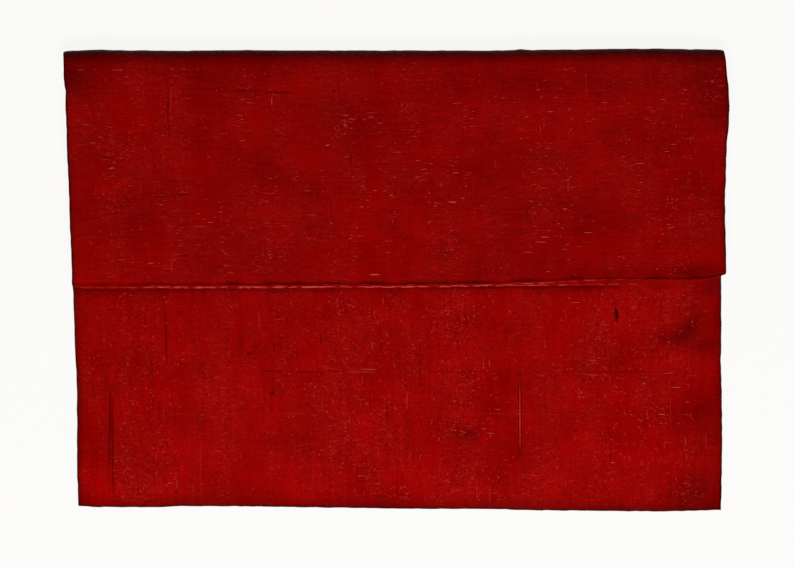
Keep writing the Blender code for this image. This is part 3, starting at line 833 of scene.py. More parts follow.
# Tones from 0, a sunk gap painted as shadow, to 1, the lightest slub painted as a glint: the cloth
# itself, a fleck, the darkest slub, and how the light slubs spread
BASE_TONE = 0.36
FLECK_TONE = 0.6
LOWEST_TONE = 0.42
TONE_SPREAD = (1.1, 2.9)
# Short slubs of the weft: spread of their length, shortest and longest, half width of a dark one and
# what a light one has more, shares of width, height and gap, how far below its gap lies, how much its
# painted shadow darkens
DASH_LENGTHS = (2.0, 0.62 * MM)
DASH_SHORTEST = 0.6 * MM
DASH_LONGEST = 5.5 * MM
DASH_THIN = 0.08 * MM
DASH_THICKENS = 0.13 * MM
DASH_WIDTH_SHARES = (0.8, 1.2)
DASH_HEIGHT_SHARES = (0.7, 1.2)
GAP_LENGTH_SHARES = (0.7, 1.3)
GAP_HEIGHT_SHARE = 0.25
GAP_BELOW = 0.36 * MM
GAP_SHADOW_DARKENS = 0.15
DASH_STEPS = 6
GAP_STEPS = 5
# Curled fibres: length, spread of their bend in radians, half width, how many are painted light as glints,
# their tones
CURL_STEPS = 4
CURL_LENGTHS = (0.6 * MM, 1.9 * MM)
CURL_BEND = 1.6
CURL_WIDTHS = (0.1 * MM, 0.23 * MM)
CURL_LIGHT_SHARE = 0.82
CURL_LIGHT_TONES = (0.4, 0.74)
CURL_DARK_TONE = 0.22
# Slubs of the warp: spread of their length, shortest and longest, how many are painted light as
# glints, tones, half width, height of a light and of a dark one as a share of it
WARP_LENGTHS = (1.1, 2.8 * MM)
WARP_SHORTEST = 1.0 * MM
WARP_LONGEST = 22 * MM
WARP_LIGHT_SHARE = 0.26
WARP_LIGHT_TONE = 0.9
WARP_DARK_TONES = (0.2, 0.34)
WARP_WIDTHS = (0.09 * MM, 0.18 * MM)
WARP_LIGHT_HEIGHT = 0.9
WARP_DARK_HEIGHT = 0.3
WARP_STEPS = 10


def scattered(draw, count, streams):
    """Places across the cloth, most of them in streams, the rest anywhere."""
    limit = BODY_HALF - SIDE_MARGIN
    anywhere = draw.uniform(-limit, limit, count)
    near = np.array(streams)[draw.integers(0, len(streams), count)]
    near = near + draw.normal(0.0, STREAM_SPREAD, count)
    return np.clip(np.where(draw.random(count) < STREAM_SHARE, near, anywhere), -limit, limit)


def stacks(draw, count, streams, low_y, high_y):
    """Middles of slubs that lie in small stacks, as one uneven thread passes row after row."""
    sizes = draw.integers(1, LARGEST_STACK + 1, count)
    centre_x = np.repeat(scattered(draw, count, streams), sizes)
    centre_y = np.repeat(draw.uniform(low_y, high_y, count), sizes)
    total = len(centre_x)
    x = centre_x + draw.normal(0.0, STACK_SPREAD, total)
    y = centre_y + draw.normal(0.0, STACK_STEP, total) * np.sqrt(np.repeat(sizes, sizes))
    limit = BODY_HALF - SIDE_MARGIN
    outside = (y < low_y) | (y > high_y)
    return np.clip(x, -limit, limit), np.where(outside, draw.uniform(low_y, high_y, total), y)


def slub_tones(draw, count):
    """Most slubs are hardly lighter than the cloth; a few are painted much lighter, as glints."""
    return LOWEST_TONE + (1 - LOWEST_TONE) * draw.beta(*TONE_SPREAD, count)


def weft_dashes(strip, part, streams, low_y, high_y, count, seed):
    """The many short slubs of the weft, each with a darker thread in the gap below it, a painted shadow
    that is darker under a lighter slub.
    """
    draw = np.random.default_rng(seed)
    x, y = stacks(draw, count, streams, low_y, high_y)
    total = len(x)
    length = np.minimum(draw.gamma(*DASH_LENGTHS, total) + DASH_SHORTEST, DASH_LONGEST)
    tone = slub_tones(draw, total)
    width = (DASH_THIN + DASH_THICKENS * tone) * draw.uniform(*DASH_WIDTH_SHARES, total)
    height = width * draw.uniform(*DASH_HEIGHT_SHARES, total)
    bright = weft_threads(strip, part, x, y, length, width, height, DASH_STEPS, draw)
    gap_shadow_tone = BASE_TONE - GAP_SHADOW_DARKENS * tone ** 2
    gap_length = length * draw.uniform(*GAP_LENGTH_SHARES, total)
    gap_height = height * GAP_HEIGHT_SHARE
    gaps = weft_threads(strip, part, x, y - GAP_BELOW, gap_length, width, gap_height, GAP_STEPS, draw)
    return [(bright, tone), (gaps, gap_shadow_tone)]


def curled_fibres(strip, part, streams, low_y, high_y, count, seed):
    """Tiny curls of loose fibre, which give raw silk its speckle; most are painted lighter, as glints
    where threads cross.
    """
    draw = np.random.default_rng(seed)
    x, y = stacks(draw, count, streams, low_y, high_y)
    total = len(x)
    share = np.linspace(-0.5, 0.5, CURL_STEPS)[None, :]
    length = draw.uniform(*CURL_LENGTHS, total)[:, None]
    heading = draw.uniform(0.0, math.pi, total)[:, None]
    bend = draw.normal(0.0, CURL_BEND, total)[:, None]
    turn = heading + bend * share
    run_x = x[:, None] + length * share * np.cos(turn)
    run_y = y[:, None] + length * share * np.sin(turn)
    places, normals = strip.at(strip.rows_at(part, run_y), run_x)
    width = draw.uniform(*CURL_WIDTHS, total)[:, None] * taper(CURL_STEPS)
    light = draw.random(total) < CURL_LIGHT_SHARE
    tone = np.where(light, draw.uniform(*CURL_LIGHT_TONES, total), CURL_DARK_TONE)
    return [(thread_rings(places, normals, width, width), tone)]


def warp_lines(strip, part, streams, low_y, high_y, count, seed):
    """The fewer slubs of the warp, finer and some of them longer, light or dark."""
    draw = np.random.default_rng(seed)
    x = scattered(draw, count, streams)
    length = np.minimum(draw.gamma(*WARP_LENGTHS, count) + WARP_SHORTEST, WARP_LONGEST)
    room = (high_y - low_y - length) / 2
    y = (low_y + high_y) / 2 + draw.uniform(-1.0, 1.0, count) * room
    light = draw.random(count) < WARP_LIGHT_SHARE
    light_tone = slub_tones(draw, count) * WARP_LIGHT_TONE
    tone = np.where(light, light_tone, draw.uniform(*WARP_DARK_TONES, count))
    width = draw.uniform(*WARP_WIDTHS, count)
    height = width * np.where(light, WARP_LIGHT_HEIGHT, WARP_DARK_HEIGHT)
    return [(warp_threads(strip, part, x, y, length, width, height, WARP_STEPS, draw), tone)]


# Strands of the rolled hem, painted light as the highlight along the bead: share of the bead's width
# from its lower edge at the left and at the right, half width, height, middle tone, how much of the strand
# shows
HEM_STRANDS = (
    (0.14, 0.15, 0.17 * MM, 0.17 * MM, 0.86, 0.85),
    (0.32, 0.78, 0.19 * MM, 0.22 * MM, 0.96, 0.85),
    (0.72, 0.5, 0.15 * MM, 0.14 * MM, 0.5, 0.4),
)
# Their dashes: spacing, length as a share of it, steps, how far the ends stay off the sides, and how
# unevenly they lie and swell, how their painted highlight dims to the right and how unevenly it shows
HEM_DASH = 4.2 * MM
HEM_DASH_LENGTHS = (0.5, 1.5)
HEM_DASH_STEPS = 9
HEM_DASH_MARGIN = 2 * MM
HEM_DASH_DRIFT = 0.03 * MM
HEM_DASH_SIZES = (0.7, 1.2)
HEM_DASH_DIMMER = 0.2
HEM_DASH_TONES = 0.16


def hem_strands(strip, seed):
    """The threads of the rolled edge, each coming and going as broken dashes, painted light as the bead's
    highlight.
    """
    draw = np.random.default_rng(seed)
    groups = []
    limit = BODY_HALF - HEM_DASH_MARGIN
    for left, right, width, height, tone, shown in HEM_STRANDS:
        starts = np.arange(-limit, limit, HEM_DASH)
        count = len(starts)
        keep = draw.random(count) < shown
        x = (starts + draw.uniform(0.0, HEM_DASH, count))[keep]
        length = draw.uniform(*HEM_DASH_LENGTHS, count)[keep] * HEM_DASH
        x = np.clip(x, -limit + length / 2, limit - length / 2)
        share = left + (right - left) * hem_widened(x)
        from_hem = share * bead_width(x) + draw.normal(0.0, HEM_DASH_DRIFT, len(x))
        size = draw.uniform(*HEM_DASH_SIZES, len(x))
        rings = weft_threads(
            strip, "flap", x, HEM_Y + from_hem, length, width * size, height * size, HEM_DASH_STEPS, draw,
        )
        uneven = draw.normal(0.0, HEM_DASH_TONES, len(x))
        tones = np.clip(tone * (1 - HEM_DASH_DIMMER * hem_widened(x) + uneven), 0.0, 1.0)
        tones = BASE_TONE + (tones - BASE_TONE) * hem_shows(x) * (1 - hem_faded(x))
        groups.append((rings, tones))
    return groups


# Slubs and gaps that the photograph shows one by one: direction, part, pixel at each end, half width,
# height, tone
NAMED_SLUBS = (
    ("warp", "front", (520, 384), (520, 447), 0.16 * MM, 0.24 * MM, 0.86),
    ("warp", "front", (518.7, 366), (518.7, 461), 0.18 * MM, 0.04 * MM, 0.22),
    ("warp", "front", (521.4, 368), (521.4, 458), 0.18 * MM, 0.04 * MM, 0.22),
    ("weft", "front", (359, 369.2), (377, 369.2), 0.2 * MM, 0.26 * MM, 0.82),
    ("weft", "front", (345, 371.8), (377, 371.8), 0.17 * MM, 0.22 * MM, 0.7),
    ("weft", "front", (356, 399.7), (366, 399.7), 0.17 * MM, 0.2 * MM, 0.68),
    ("weft", "front", (148, 414), (206, 414), 0.14 * MM, 0.06 * MM, 0.46),
    ("weft", "front", (226, 414), (238, 414), 0.18 * MM, 0.1 * MM, 0.56),
    ("weft", "front", (279, 413.5), (310, 413.5), 0.16 * MM, 0.08 * MM, 0.54),
    ("weft", "front", (340, 414), (720, 414), 0.12 * MM, 0.05 * MM, 0.45),
    ("weft", "front", (664, 373), (674, 373), 0.18 * MM, 0.2 * MM, 0.8),
    ("warp", "front", (407, 390), (407, 410), 0.18 * MM, 0.2 * MM, 0.7),
    ("weft", "flap", (369.5, 274.4), (380, 274.4), 0.26 * MM, 0.34 * MM, 1.0),
    ("weft", "flap", (448, 202), (457, 202), 0.24 * MM, 0.3 * MM, 0.9),
    ("weft", "flap", (460, 198), (465, 198), 0.2 * MM, 0.26 * MM, 0.8),
    ("weft", "flap", (540, 237), (550, 237), 0.2 * MM, 0.26 * MM, 0.85),
    ("weft", "flap", (536, 242), (546, 242), 0.2 * MM, 0.26 * MM, 0.8),
    ("weft", "flap", (522, 252), (533, 252), 0.16 * MM, 0.2 * MM, 0.7),
    ("warp", "flap", (171, 86), (171, 112), 0.16 * MM, 0.16 * MM, 0.6),
    ("warp", "flap", (168, 78), (168, 140), 0.3 * MM, 0.05 * MM, 0.26),
    ("warp", "front", (110, 392), (110, 442), 0.55 * MM, 0.05 * MM, 0.26),
    ("warp", "front", (112, 398), (112.5, 500), 0.32 * MM, 0.05 * MM, 0.2),
    ("warp", "front", (109, 425), (109, 470), 0.4 * MM, 0.05 * MM, 0.28),
    ("warp", "front", (166, 311), (166, 366), 0.4 * MM, 0.05 * MM, 0.29),
    ("warp", "front", (145, 314), (145, 334), 0.3 * MM, 0.05 * MM, 0.26),
    ("warp", "front", (200, 440), (200, 492), 0.2 * MM, 0.12 * MM, 0.5),
    ("warp", "front", (163.5, 404), (163.5, 424), 0.16 * MM, 0.12 * MM, 0.56),
    ("warp", "front", (387, 404), (387, 424), 0.3 * MM, 0.05 * MM, 0.22),
    ("warp", "front", (420, 341), (420, 383), 0.24 * MM, 0.05 * MM, 0.26),
    ("weft", "front", (262, 371.2), (284, 371.2), 0.26 * MM, 0.04 * MM, 0.24),
    ("weft", "front", (287, 372.2), (322, 372.2), 0.26 * MM, 0.04 * MM, 0.22),
    ("weft", "front", (328, 371.4), (352, 371.4), 0.2 * MM, 0.04 * MM, 0.27),
    ("weft", "front", (420, 371.8), (500, 371.8), 0.16 * MM, 0.04 * MM, 0.28),
    ("weft", "front", (560, 372), (690, 372), 0.16 * MM, 0.04 * MM, 0.29),
    ("weft", "flap", (186, 89.5), (230, 89.5), 0.3 * MM, 0.04 * MM, 0.28),
    ("weft", "flap", (228, 91.2), (262, 91.2), 0.38 * MM, 0.04 * MM, 0.25),
    ("weft", "flap", (262, 92.8), (293, 92.8), 0.36 * MM, 0.04 * MM, 0.23),
    ("weft", "flap", (153, 197), (170, 197), 0.24 * MM, 0.04 * MM, 0.17),
    ("weft", "flap", (177, 194.8), (190, 194.8), 0.3 * MM, 0.04 * MM, 0.22),
    ("weft", "flap", (178, 192.6), (190, 192.6), 0.17 * MM, 0.14 * MM, 0.55),
    ("weft", "flap", (233, 196), (248, 196), 0.3 * MM, 0.04 * MM, 0.22),
    ("weft", "flap", (166, 226), (176, 226), 0.16 * MM, 0.14 * MM, 0.62),
    ("weft", "flap", (164, 228), (174, 228), 0.15 * MM, 0.12 * MM, 0.56),
    ("weft", "flap", (193, 226.3), (206, 226.3), 0.17 * MM, 0.16 * MM, 0.62),
    ("weft", "flap", (161, 268.5), (174, 268.5), 0.17 * MM, 0.16 * MM, 0.6),
    ("weft", "flap", (180, 256), (190, 256), 0.4 * MM, 0.04 * MM, 0.22),
    ("weft", "flap", (171, 254.5), (181, 254.5), 0.15 * MM, 0.12 * MM, 0.55),
    ("warp", "front", (616, 307), (616, 318), 0.5 * MM, 0.05 * MM, 0.02),
    ("warp", "front", (617.2, 310), (617.2, 320), 0.55 * MM, 0.05 * MM, 0.0),
    ("warp", "front", (616.5, 317), (616.5, 323), 0.6 * MM, 0.04 * MM, 0.24),
    ("weft", "front", (246, 353.5), (252, 353.5), 0.45 * MM, 0.06 * MM, 0.17),
    ("weft", "front", (270, 393.5), (275, 393.5), 0.8 * MM, 0.06 * MM, 0.22),
    ("weft", "front", (108, 310), (114, 310), 0.3 * MM, 0.06 * MM, 0.22),
    ("weft", "front", (175, 312), (184, 312), 0.24 * MM, 0.05 * MM, 0.18),
    ("warp", "front", (274, 341), (274, 353), 0.24 * MM, 0.05 * MM, 0.14),
    ("warp", "front", (321, 335), (321, 346), 0.24 * MM, 0.05 * MM, 0.14),
    ("warp", "front", (259, 307), (259, 333), 0.18 * MM, 0.14 * MM, 0.56),
    ("warp", "front", (490, 484), (490, 504), 0.16 * MM, 0.16 * MM, 0.6),
)

# Length of one step of such a slub, and the fewest steps
NAMED_STEP = 1.2 * MM
NAMED_STEPS = 8
# What turns its first pixel into the seed of its draw
SLUB_SEED = 7


def named_slub(strip, slub):
    """One slub from its pixels in the photograph."""
    direction, part, start, end, width, height, tone = slub
    height_above_table = FLAP_TOP if part == "flap" else BODY_THICKNESS
    start_x, start_y = photo_place(*start, height_above_table)
    end_x, end_y = photo_place(*end, height_above_table)
    draw = np.random.default_rng(int(start[0] * SLUB_SEED + start[1]))
    maker = weft_threads if direction == "weft" else warp_threads
    length = abs(end_x - start_x) if direction == "weft" else abs(end_y - start_y)
    middle = strip.settings_for(part, (start_x + end_x) / 2, (start_y + end_y) / 2)
    middle = [np.array([value]) for value in middle]
    steps = max(NAMED_STEPS, int(length / NAMED_STEP))
    sizes = [np.array([value]) for value in (length, width, height)]
    return maker(strip, part, *middle, *sizes, steps, draw), np.array([tone])


def add_node(tree, kind, links=None, values=None, **settings):
    """A node with its properties, fixed inputs and linked inputs."""
    node = tree.nodes.new(kind)
    for key, value in settings.items():
        setattr(node, key, value)
    for key, value in (values or {}).items():
        node.inputs[key].default_value = value
    for key, output in (links or {}).items():
        tree.links.new(output, node.inputs[key])
    return node


def math_node(tree, operation, first, second=None):
    """One sum on values or outputs."""
    node = tree.nodes.new("ShaderNodeMath")
    node.operation = operation
    for place, value in enumerate((first, second)):
        if value is None:
            continue
        if isinstance(value, (int, float)):
            node.inputs[place].default_value = value
        else:
            tree.links.new(value, node.inputs[place])
    return node.outputs[0]


# Grains of the noise in a metre, straight through the cloth
GRAINS_THROUGH = 300.0


def stretched_noise(tree, place, length_x, length_y, detail, roughness=0.5, distortion=0.0):
    """Noise from 0 to 1 whose grains are about this long across and along the cloth."""
    scaled = add_node(
        tree, "ShaderNodeVectorMath", {0: place}, operation="MULTIPLY",
        values={1: (1 / length_x, 1 / length_y, GRAINS_THROUGH)},
    )
    noise = add_node(
        tree, "ShaderNodeTexNoise", {"Vector": scaled.outputs[0]},
        {"Scale": 1.0, "Detail": detail, "Roughness": roughness, "Distortion": distortion},
    )
    return noise.outputs[0]


def ramp(tree, value, low, high):
    """0 at low, 1 at high, eased between."""
    node = add_node(
        tree, "ShaderNodeMapRange", {"Value": value}, {"From Min": low, "From Max": high},
        interpolation_type="SMOOTHSTEP",
    )
    return node.outputs[0]


def new_group(name, inputs, outputs):
    """A node group with float or vector inputs and outputs; returns it with its two end nodes."""
    group = bpy.data.node_groups.new(name, "ShaderNodeTree")
    kinds = {"float": "NodeSocketFloat", "vector": "NodeSocketVector"}
    for label, kind, value in inputs:
        made = group.interface.new_socket(label, in_out="INPUT", socket_type=kinds[kind])
        if value is not None:
            made.default_value = value
    for label, kind in outputs:
        group.interface.new_socket(label, in_out="OUTPUT", socket_type=kinds[kind])
    return group, group.nodes.new("NodeGroupInput"), group.nodes.new("NodeGroupOutput")


def weave_group():
    """Over and under of warp and weft, uneven as hand-reeled silk is."""
    group, start, end = new_group(
        "plain_weave",
        [
            ("Place", "vector", None),
            ("Warp Pitch", "float", 0.28 * MM),
            ("Weft Pitch", "float", 0.4 * MM),
        ],
        [("Height", "float")],
    )
    split = add_node(group, "ShaderNodeSeparateXYZ", {0: start.outputs["Place"]})
    sway = stretched_noise(group, start.outputs["Place"], 1.6 * MM, 5 * MM, 2)
    sway = math_node(group, "MULTIPLY", math_node(group, "SUBTRACT", sway, 0.5), 0.9 * MM)
    waves = []
    for axis, pitch in (("X", "Warp Pitch"), ("Y", "Weft Pitch")):
        moved = math_node(group, "ADD", split.outputs[axis], sway)
        turns = math_node(group, "DIVIDE", moved, start.outputs[pitch])
        waves.append(math_node(group, "SINE", math_node(group, "MULTIPLY", turns, math.pi)))
    crossing = math_node(group, "MULTIPLY", waves[0], waves[1])
    round_x = math_node(group, "ABSOLUTE", waves[0])
    round_y = math_node(group, "ABSOLUTE", waves[1])
    threads = math_node(group, "MULTIPLY", math_node(group, "ADD", round_x, round_y), 0.5)
    height = math_node(group, "ADD", threads, math_node(group, "MULTIPLY", crossing, 0.35))
    group.links.new(height, end.inputs["Height"])
    return group


def slub_group():
    """Streaks, slubs, specks and soft blotches of raw silk, as a tone and as heights."""
    group, start, end = new_group(
        "raw_silk_unevenness",
        [
            ("Place", "vector", None),
            ("Warp Streaks", "float", 0.5),
            ("Weft Lines", "float", 0.4),
            ("Blotches", "float", 0.6),
            ("Specks", "float", 0.5),
            ("Slubs", "float", 1.0),
        ],
        [("Tone", "float"), ("Slub", "float"), ("Height", "float")],
    )
    place = start.outputs["Place"]
    warp = stretched_noise(group, place, 2.1 * MM, 20 * MM, 4, 0.68, 0.25)
    weft = stretched_noise(group, place, 12 * MM, 1.1 * MM, 3, 0.6, 0.2)
    blotch = stretched_noise(group, place, 30 * MM, 22 * MM, 4, 0.6)
    speck = stretched_noise(group, place, 1.5 * MM, 1.2 * MM, 3, 0.7, 1.6)
    dash = stretched_noise(group, place, 3.4 * MM, 1.0 * MM, 2, 0.5, 0.6)
    stream = stretched_noise(group, place, 18 * MM, 42 * MM, 2, 0.6)
    dense = ramp(group, stream, 0.34, 0.66)
    lively = math_node(group, "ADD", math_node(group, "MULTIPLY", dense, 1.1), 0.45)
    speck_amount = math_node(group, "MULTIPLY", start.outputs["Specks"], lively)
    tone = 1.0
    for noise, amount in (
        (warp, start.outputs["Warp Streaks"]),
        (weft, start.outputs["Weft Lines"]),
        (blotch, start.outputs["Blotches"]),
        (speck, speck_amount),
    ):
        swing = math_node(group, "MULTIPLY", math_node(group, "SUBTRACT", noise, 0.5), amount)
        tone = math_node(group, "ADD", swing, tone)
    group.links.new(tone, end.inputs["Tone"])
    mask = math_node(group, "MULTIPLY", ramp(group, dash, 0.58, 0.76), dense)
    ridge = math_node(group, "ABSOLUTE", math_node(group, "SUBTRACT", speck, 0.5))
    curl = math_node(group, "SUBTRACT", 1.0, ramp(group, ridge, 0.0, 0.035))
    fleck = math_node(group, "MULTIPLY", ramp(group, speck, 0.58, 0.72), lively)
    curled = math_node(group, "MULTIPLY", curl, math_node(group, "MULTIPLY", dense, 0.75))
    both = math_node(group, "MAXIMUM", mask, math_node(group, "MAXIMUM", fleck, curled))
    both = math_node(group, "MULTIPLY", both, start.outputs["Slubs"])
    group.links.new(both, end.inputs["Slub"])
    weft_height = math_node(group, "MULTIPLY", weft, 0.5)
    lines = math_node(group, "ADD", weft_height, math_node(group, "MULTIPLY", warp, 0.5))
    bumps = math_node(group, "ADD", both, math_node(group, "MULTIPLY", speck, 0.6))
    group.links.new(math_node(group, "ADD", lines, bumps), end.inputs["Height"])
    return group


def new_material(name):
    """A material with only its Principled BSDF and its output; returns it, its tree and shader."""
    material = bpy.data.materials.new(name)
    material.use_nodes = True
    tree = material.node_tree
    return material, tree, tree.nodes["Principled BSDF"]


def add_bump(tree, shader, height, strength, distance):
    """Relief on the shader's normal, from a height."""
    bump = add_node(
        tree, "ShaderNodeBump", {"Height": height}, {"Strength": strength, "Distance": distance},
    )
    tree.links.new(bump.outputs["Normal"], shader.inputs["Normal"])


def thread_place(tree):
    """The place along the threads, which the cloth carries with it round its folds."""
    return add_node(tree, "ShaderNodeAttribute", attribute_name="thread_place").outputs["Vector"]


def object_place(tree):
    """The place in the piece's own frame."""
    return tree.nodes.new("ShaderNodeTexCoord").outputs["Object"]


# The silk's own red, the dark of a gap and of the painted shadow below a slub, the painted glint of a
# thick slub, and the painted glint of a fleck
SILK_RED = (0.262, 0.0004, 0.0003)
SILK_DEEP = (0.03, 0.0, 0.0)
SILK_GLINT = (0.7, 0.086, 0.07)
SILK_FLECK_GLINT = (0.53, 0.018, 0.014)


def brightened(colour, share):
    """The colour times a share, with its alpha."""
    return tuple(part * share for part in colour) + (1.0,)


def silk_finish(weave, unevenness):
    """Raw silk: deep red, streaked and slubbed, with shade and light painted into its colour at folds,
    creases, edges and the hem.
    """
    material, tree, shader = new_material("slubbed_silk")
    place = thread_place(tree)
    group = add_node(tree, "ShaderNodeGroup", node_tree=unevenness)
    tree.links.new(place, group.inputs["Place"])
    flap = add_node(tree, "ShaderNodeAttribute", attribute_name="flap_share").outputs["Fac"]
    for label, pocket_value, flap_change in (
        ("Warp Streaks", 0.8, -0.5),
        ("Weft Lines", 0.36, 0.5),
        ("Specks", 0.92, -0.2),
    ):
        change = math_node(tree, "MULTIPLY", flap, flap_change)
        tree.links.new(math_node(tree, "ADD", change, pocket_value), group.inputs[label])
    group.inputs["Blotches"].default_value = 1.1
    threads = add_node(tree, "ShaderNodeGroup", node_tree=weave)
    tree.links.new(place, threads.inputs["Place"])
    # Painted shade and light: the share of light kept at each point of the silk
    shade = add_node(tree, "ShaderNodeAttribute", attribute_name="painted_shading").outputs["Fac"]
    tone = math_node(tree, "MULTIPLY", group.outputs["Tone"], 0.5)
    base = add_node(
        tree, "ShaderNodeMix", {"Factor": tone}, data_type="RGBA",
        values={"A": (0.0, 0.0, 0.0, 1.0), "B": brightened(SILK_RED, 2.0)},
    )
    # Slubs and specks mixed towards a lighter red: painted glints
    lit = add_node(
        tree, "ShaderNodeMix",
        {"Factor": math_node(tree, "MULTIPLY", group.outputs["Slub"], 0.6), "A": base.outputs["Result"]},
        data_type="RGBA", values={"B": (*SILK_FLECK_GLINT, 1.0)},
    )
    painted_shade_mix = add_node(
        tree, "ShaderNodeMix", {"Factor": shade, "B": lit.outputs["Result"]}, data_type="RGBA",
        values={"A": (0.0, 0.0, 0.0, 1.0)},
    )
    tree.links.new(painted_shade_mix.outputs["Result"], shader.inputs["Base Color"])
    rough = math_node(tree, "SUBTRACT", 0.62, math_node(tree, "MULTIPLY", group.outputs["Slub"], 0.16))
    tree.links.new(rough, shader.inputs["Roughness"])
    fine = math_node(tree, "MULTIPLY", threads.outputs["Height"], 0.35)
    height = math_node(tree, "ADD", group.outputs["Height"], fine)
    add_bump(tree, shader, height, 0.5, 0.2 * MM)
    shader.inputs["Specular IOR Level"].default_value = 0.09
    shader.inputs["Specular Tint"].default_value = (1.0, 0.03, 0.025, 1.0)
    shader.inputs["Sheen Weight"].default_value = 0.04
    shader.inputs["Sheen Roughness"].default_value = 0.4
    shader.inputs["Sheen Tint"].default_value = (1.0, 0.05, 0.04, 1.0)
    return material


def slub_finish(unevenness):
    """A raised silk thread, from the dark of a sunk gap, painted as shadow, to a painted glint on a thick
    slub.
    """
    material, tree, shader = new_material("slub_thread")
    group = add_node(tree, "ShaderNodeGroup", node_tree=unevenness)
    tree.links.new(object_place(tree), group.inputs["Place"])
    tone = add_node(tree, "ShaderNodeAttribute", attribute_name="thread_tone").outputs["Fac"]
    colours = add_node(tree, "ShaderNodeValToRGB", {"Fac": tone})
    stops = colours.color_ramp.elements
    stops[0].color = (*SILK_DEEP, 1.0)
    stops[1].color = (*SILK_GLINT, 1.0)
    for place, colour in ((BASE_TONE, brightened(SILK_RED, 1.0)), (FLECK_TONE, (*SILK_FLECK_GLINT, 1.0))):
        stops.new(place).color = colour
    shade = math_node(tree, "MULTIPLY", group.outputs["Tone"], 0.86)
    base = add_node(
        tree, "ShaderNodeMix", {"Factor": shade, "B": colours.outputs["Color"]}, data_type="RGBA",
        values={"A": (0.0, 0.0, 0.0, 1.0)},
    )
    tree.links.new(base.outputs["Result"], shader.inputs["Base Color"])
    add_bump(tree, shader, group.outputs["Height"], 0.4, 0.08 * MM)
    shader.inputs["Roughness"].default_value = 0.6
    shader.inputs["Specular IOR Level"].default_value = 0.06
    shader.inputs["Specular Tint"].default_value = (1.0, 0.1, 0.08, 1.0)
    return material


def lining_finish(weave, unevenness):
    """The lining: a smooth plain weave in a darker red."""
    material, tree, shader = new_material("lining_weave")
    place = thread_place(tree)
    group = add_node(tree, "ShaderNodeGroup", node_tree=unevenness)
    tree.links.new(place, group.inputs["Place"])
    for label, value in (
        ("Warp Streaks", 0.12),
        ("Weft Lines", 0.1),
        ("Blotches", 0.2),
        ("Specks", 0.08),
        ("Slubs", 0.1),
    ):
        group.inputs[label].default_value = value
    threads = add_node(tree, "ShaderNodeGroup", node_tree=weave)
    tree.links.new(place, threads.inputs["Place"])
    threads.inputs["Warp Pitch"].default_value = 0.16 * MM
    threads.inputs["Weft Pitch"].default_value = 0.18 * MM
    shade = math_node(tree, "MULTIPLY", group.outputs["Tone"], 0.5)
    base = add_node(
        tree, "ShaderNodeMix", {"Factor": shade}, data_type="RGBA",
        values={"A": (0.09, 0.001, 0.001, 1.0), "B": (0.25, 0.004, 0.003, 1.0)},
    )
    tree.links.new(base.outputs["Result"], shader.inputs["Base Color"])
    add_bump(tree, shader, threads.outputs["Height"], 0.3, 0.06 * MM)
    shader.inputs["Roughness"].default_value = 0.42
    shader.inputs["Specular IOR Level"].default_value = 0.4
    shader.inputs["Specular Tint"].default_value = (1.0, 0.3, 0.25, 1.0)
    return material


def nickel_finish():
    """Nickel plate on the magnets, with fine turned scratches."""
    material, tree, shader = new_material("magnet_nickel")
    place = object_place(tree)
    grain = stretched_noise(tree, place, 2.5 * MM, 0.12 * MM, 2)
    cloud = stretched_noise(tree, place, 4 * MM, 4 * MM, 3)
    base = add_node(
        tree, "ShaderNodeMix", {"Factor": cloud}, data_type="RGBA",
        values={"A": (0.46, 0.44, 0.41, 1.0), "B": (0.64, 0.62, 0.59, 1.0)},
    )
    tree.links.new(base.outputs["Result"], shader.inputs["Base Color"])
    rough = math_node(tree, "ADD", math_node(tree, "MULTIPLY", grain, 0.25), 0.2)
    tree.links.new(rough, shader.inputs["Roughness"])
    add_bump(tree, shader, grain, 0.2, 0.02 * MM)
    shader.inputs["Metallic"].default_value = 1.0
    return material


def sleeve_finish():
    """Milky plastic sheet with a slight orange peel."""
    material, tree, shader = new_material("sleeve_sheet")
    place = object_place(tree)
    cloud = stretched_noise(tree, place, 3 * MM, 3 * MM, 3)
    peel = stretched_noise(tree, place, 0.7 * MM, 0.7 * MM, 2)
    base = add_node(
        tree, "ShaderNodeMix", {"Factor": cloud}, data_type="RGBA",
        values={"A": (0.66, 0.66, 0.64, 1.0), "B": (0.8, 0.8, 0.79, 1.0)},
    )
    tree.links.new(base.outputs["Result"], shader.inputs["Base Color"])
    add_bump(tree, shader, peel, 0.25, 0.05 * MM)
    shader.inputs["Roughness"].default_value = 0.38
    return material


# What the camera sees of the floor, and what the floor gives back to the bag
FLOOR_SEEN = (0.97, 0.962, 0.948)
FLOOR_BOUNCE = (0.06, 0.06, 0.06)
FLOOR_GLOW = 0.94
WORLD_SEEN = 0.955
WORLD_LIGHT = 0.07
FLOOR_HALF = 1.6
FLOOR_DROP = 0.02 * MM
# The softbox: its place, the point it faces, its two sides and its power in watts
SOFTBOX_PLACE = (0.04, -0.78, 1.25)
SOFTBOX_TARGET = (0, 0, 0)
SOFTBOX_SIZE = (0.7, 0.45)
SOFTBOX_POWER = 23.4


def seen_directly(tree):
    """1 for rays from the camera, from a gloss or through glass."""
    path = tree.nodes.new("ShaderNodeLightPath")
    seen = math_node(tree, "MAXIMUM", path.outputs["Is Camera Ray"], path.outputs["Is Glossy Ray"])
    return math_node(tree, "MAXIMUM", seen, path.outputs["Is Transmission Ray"])


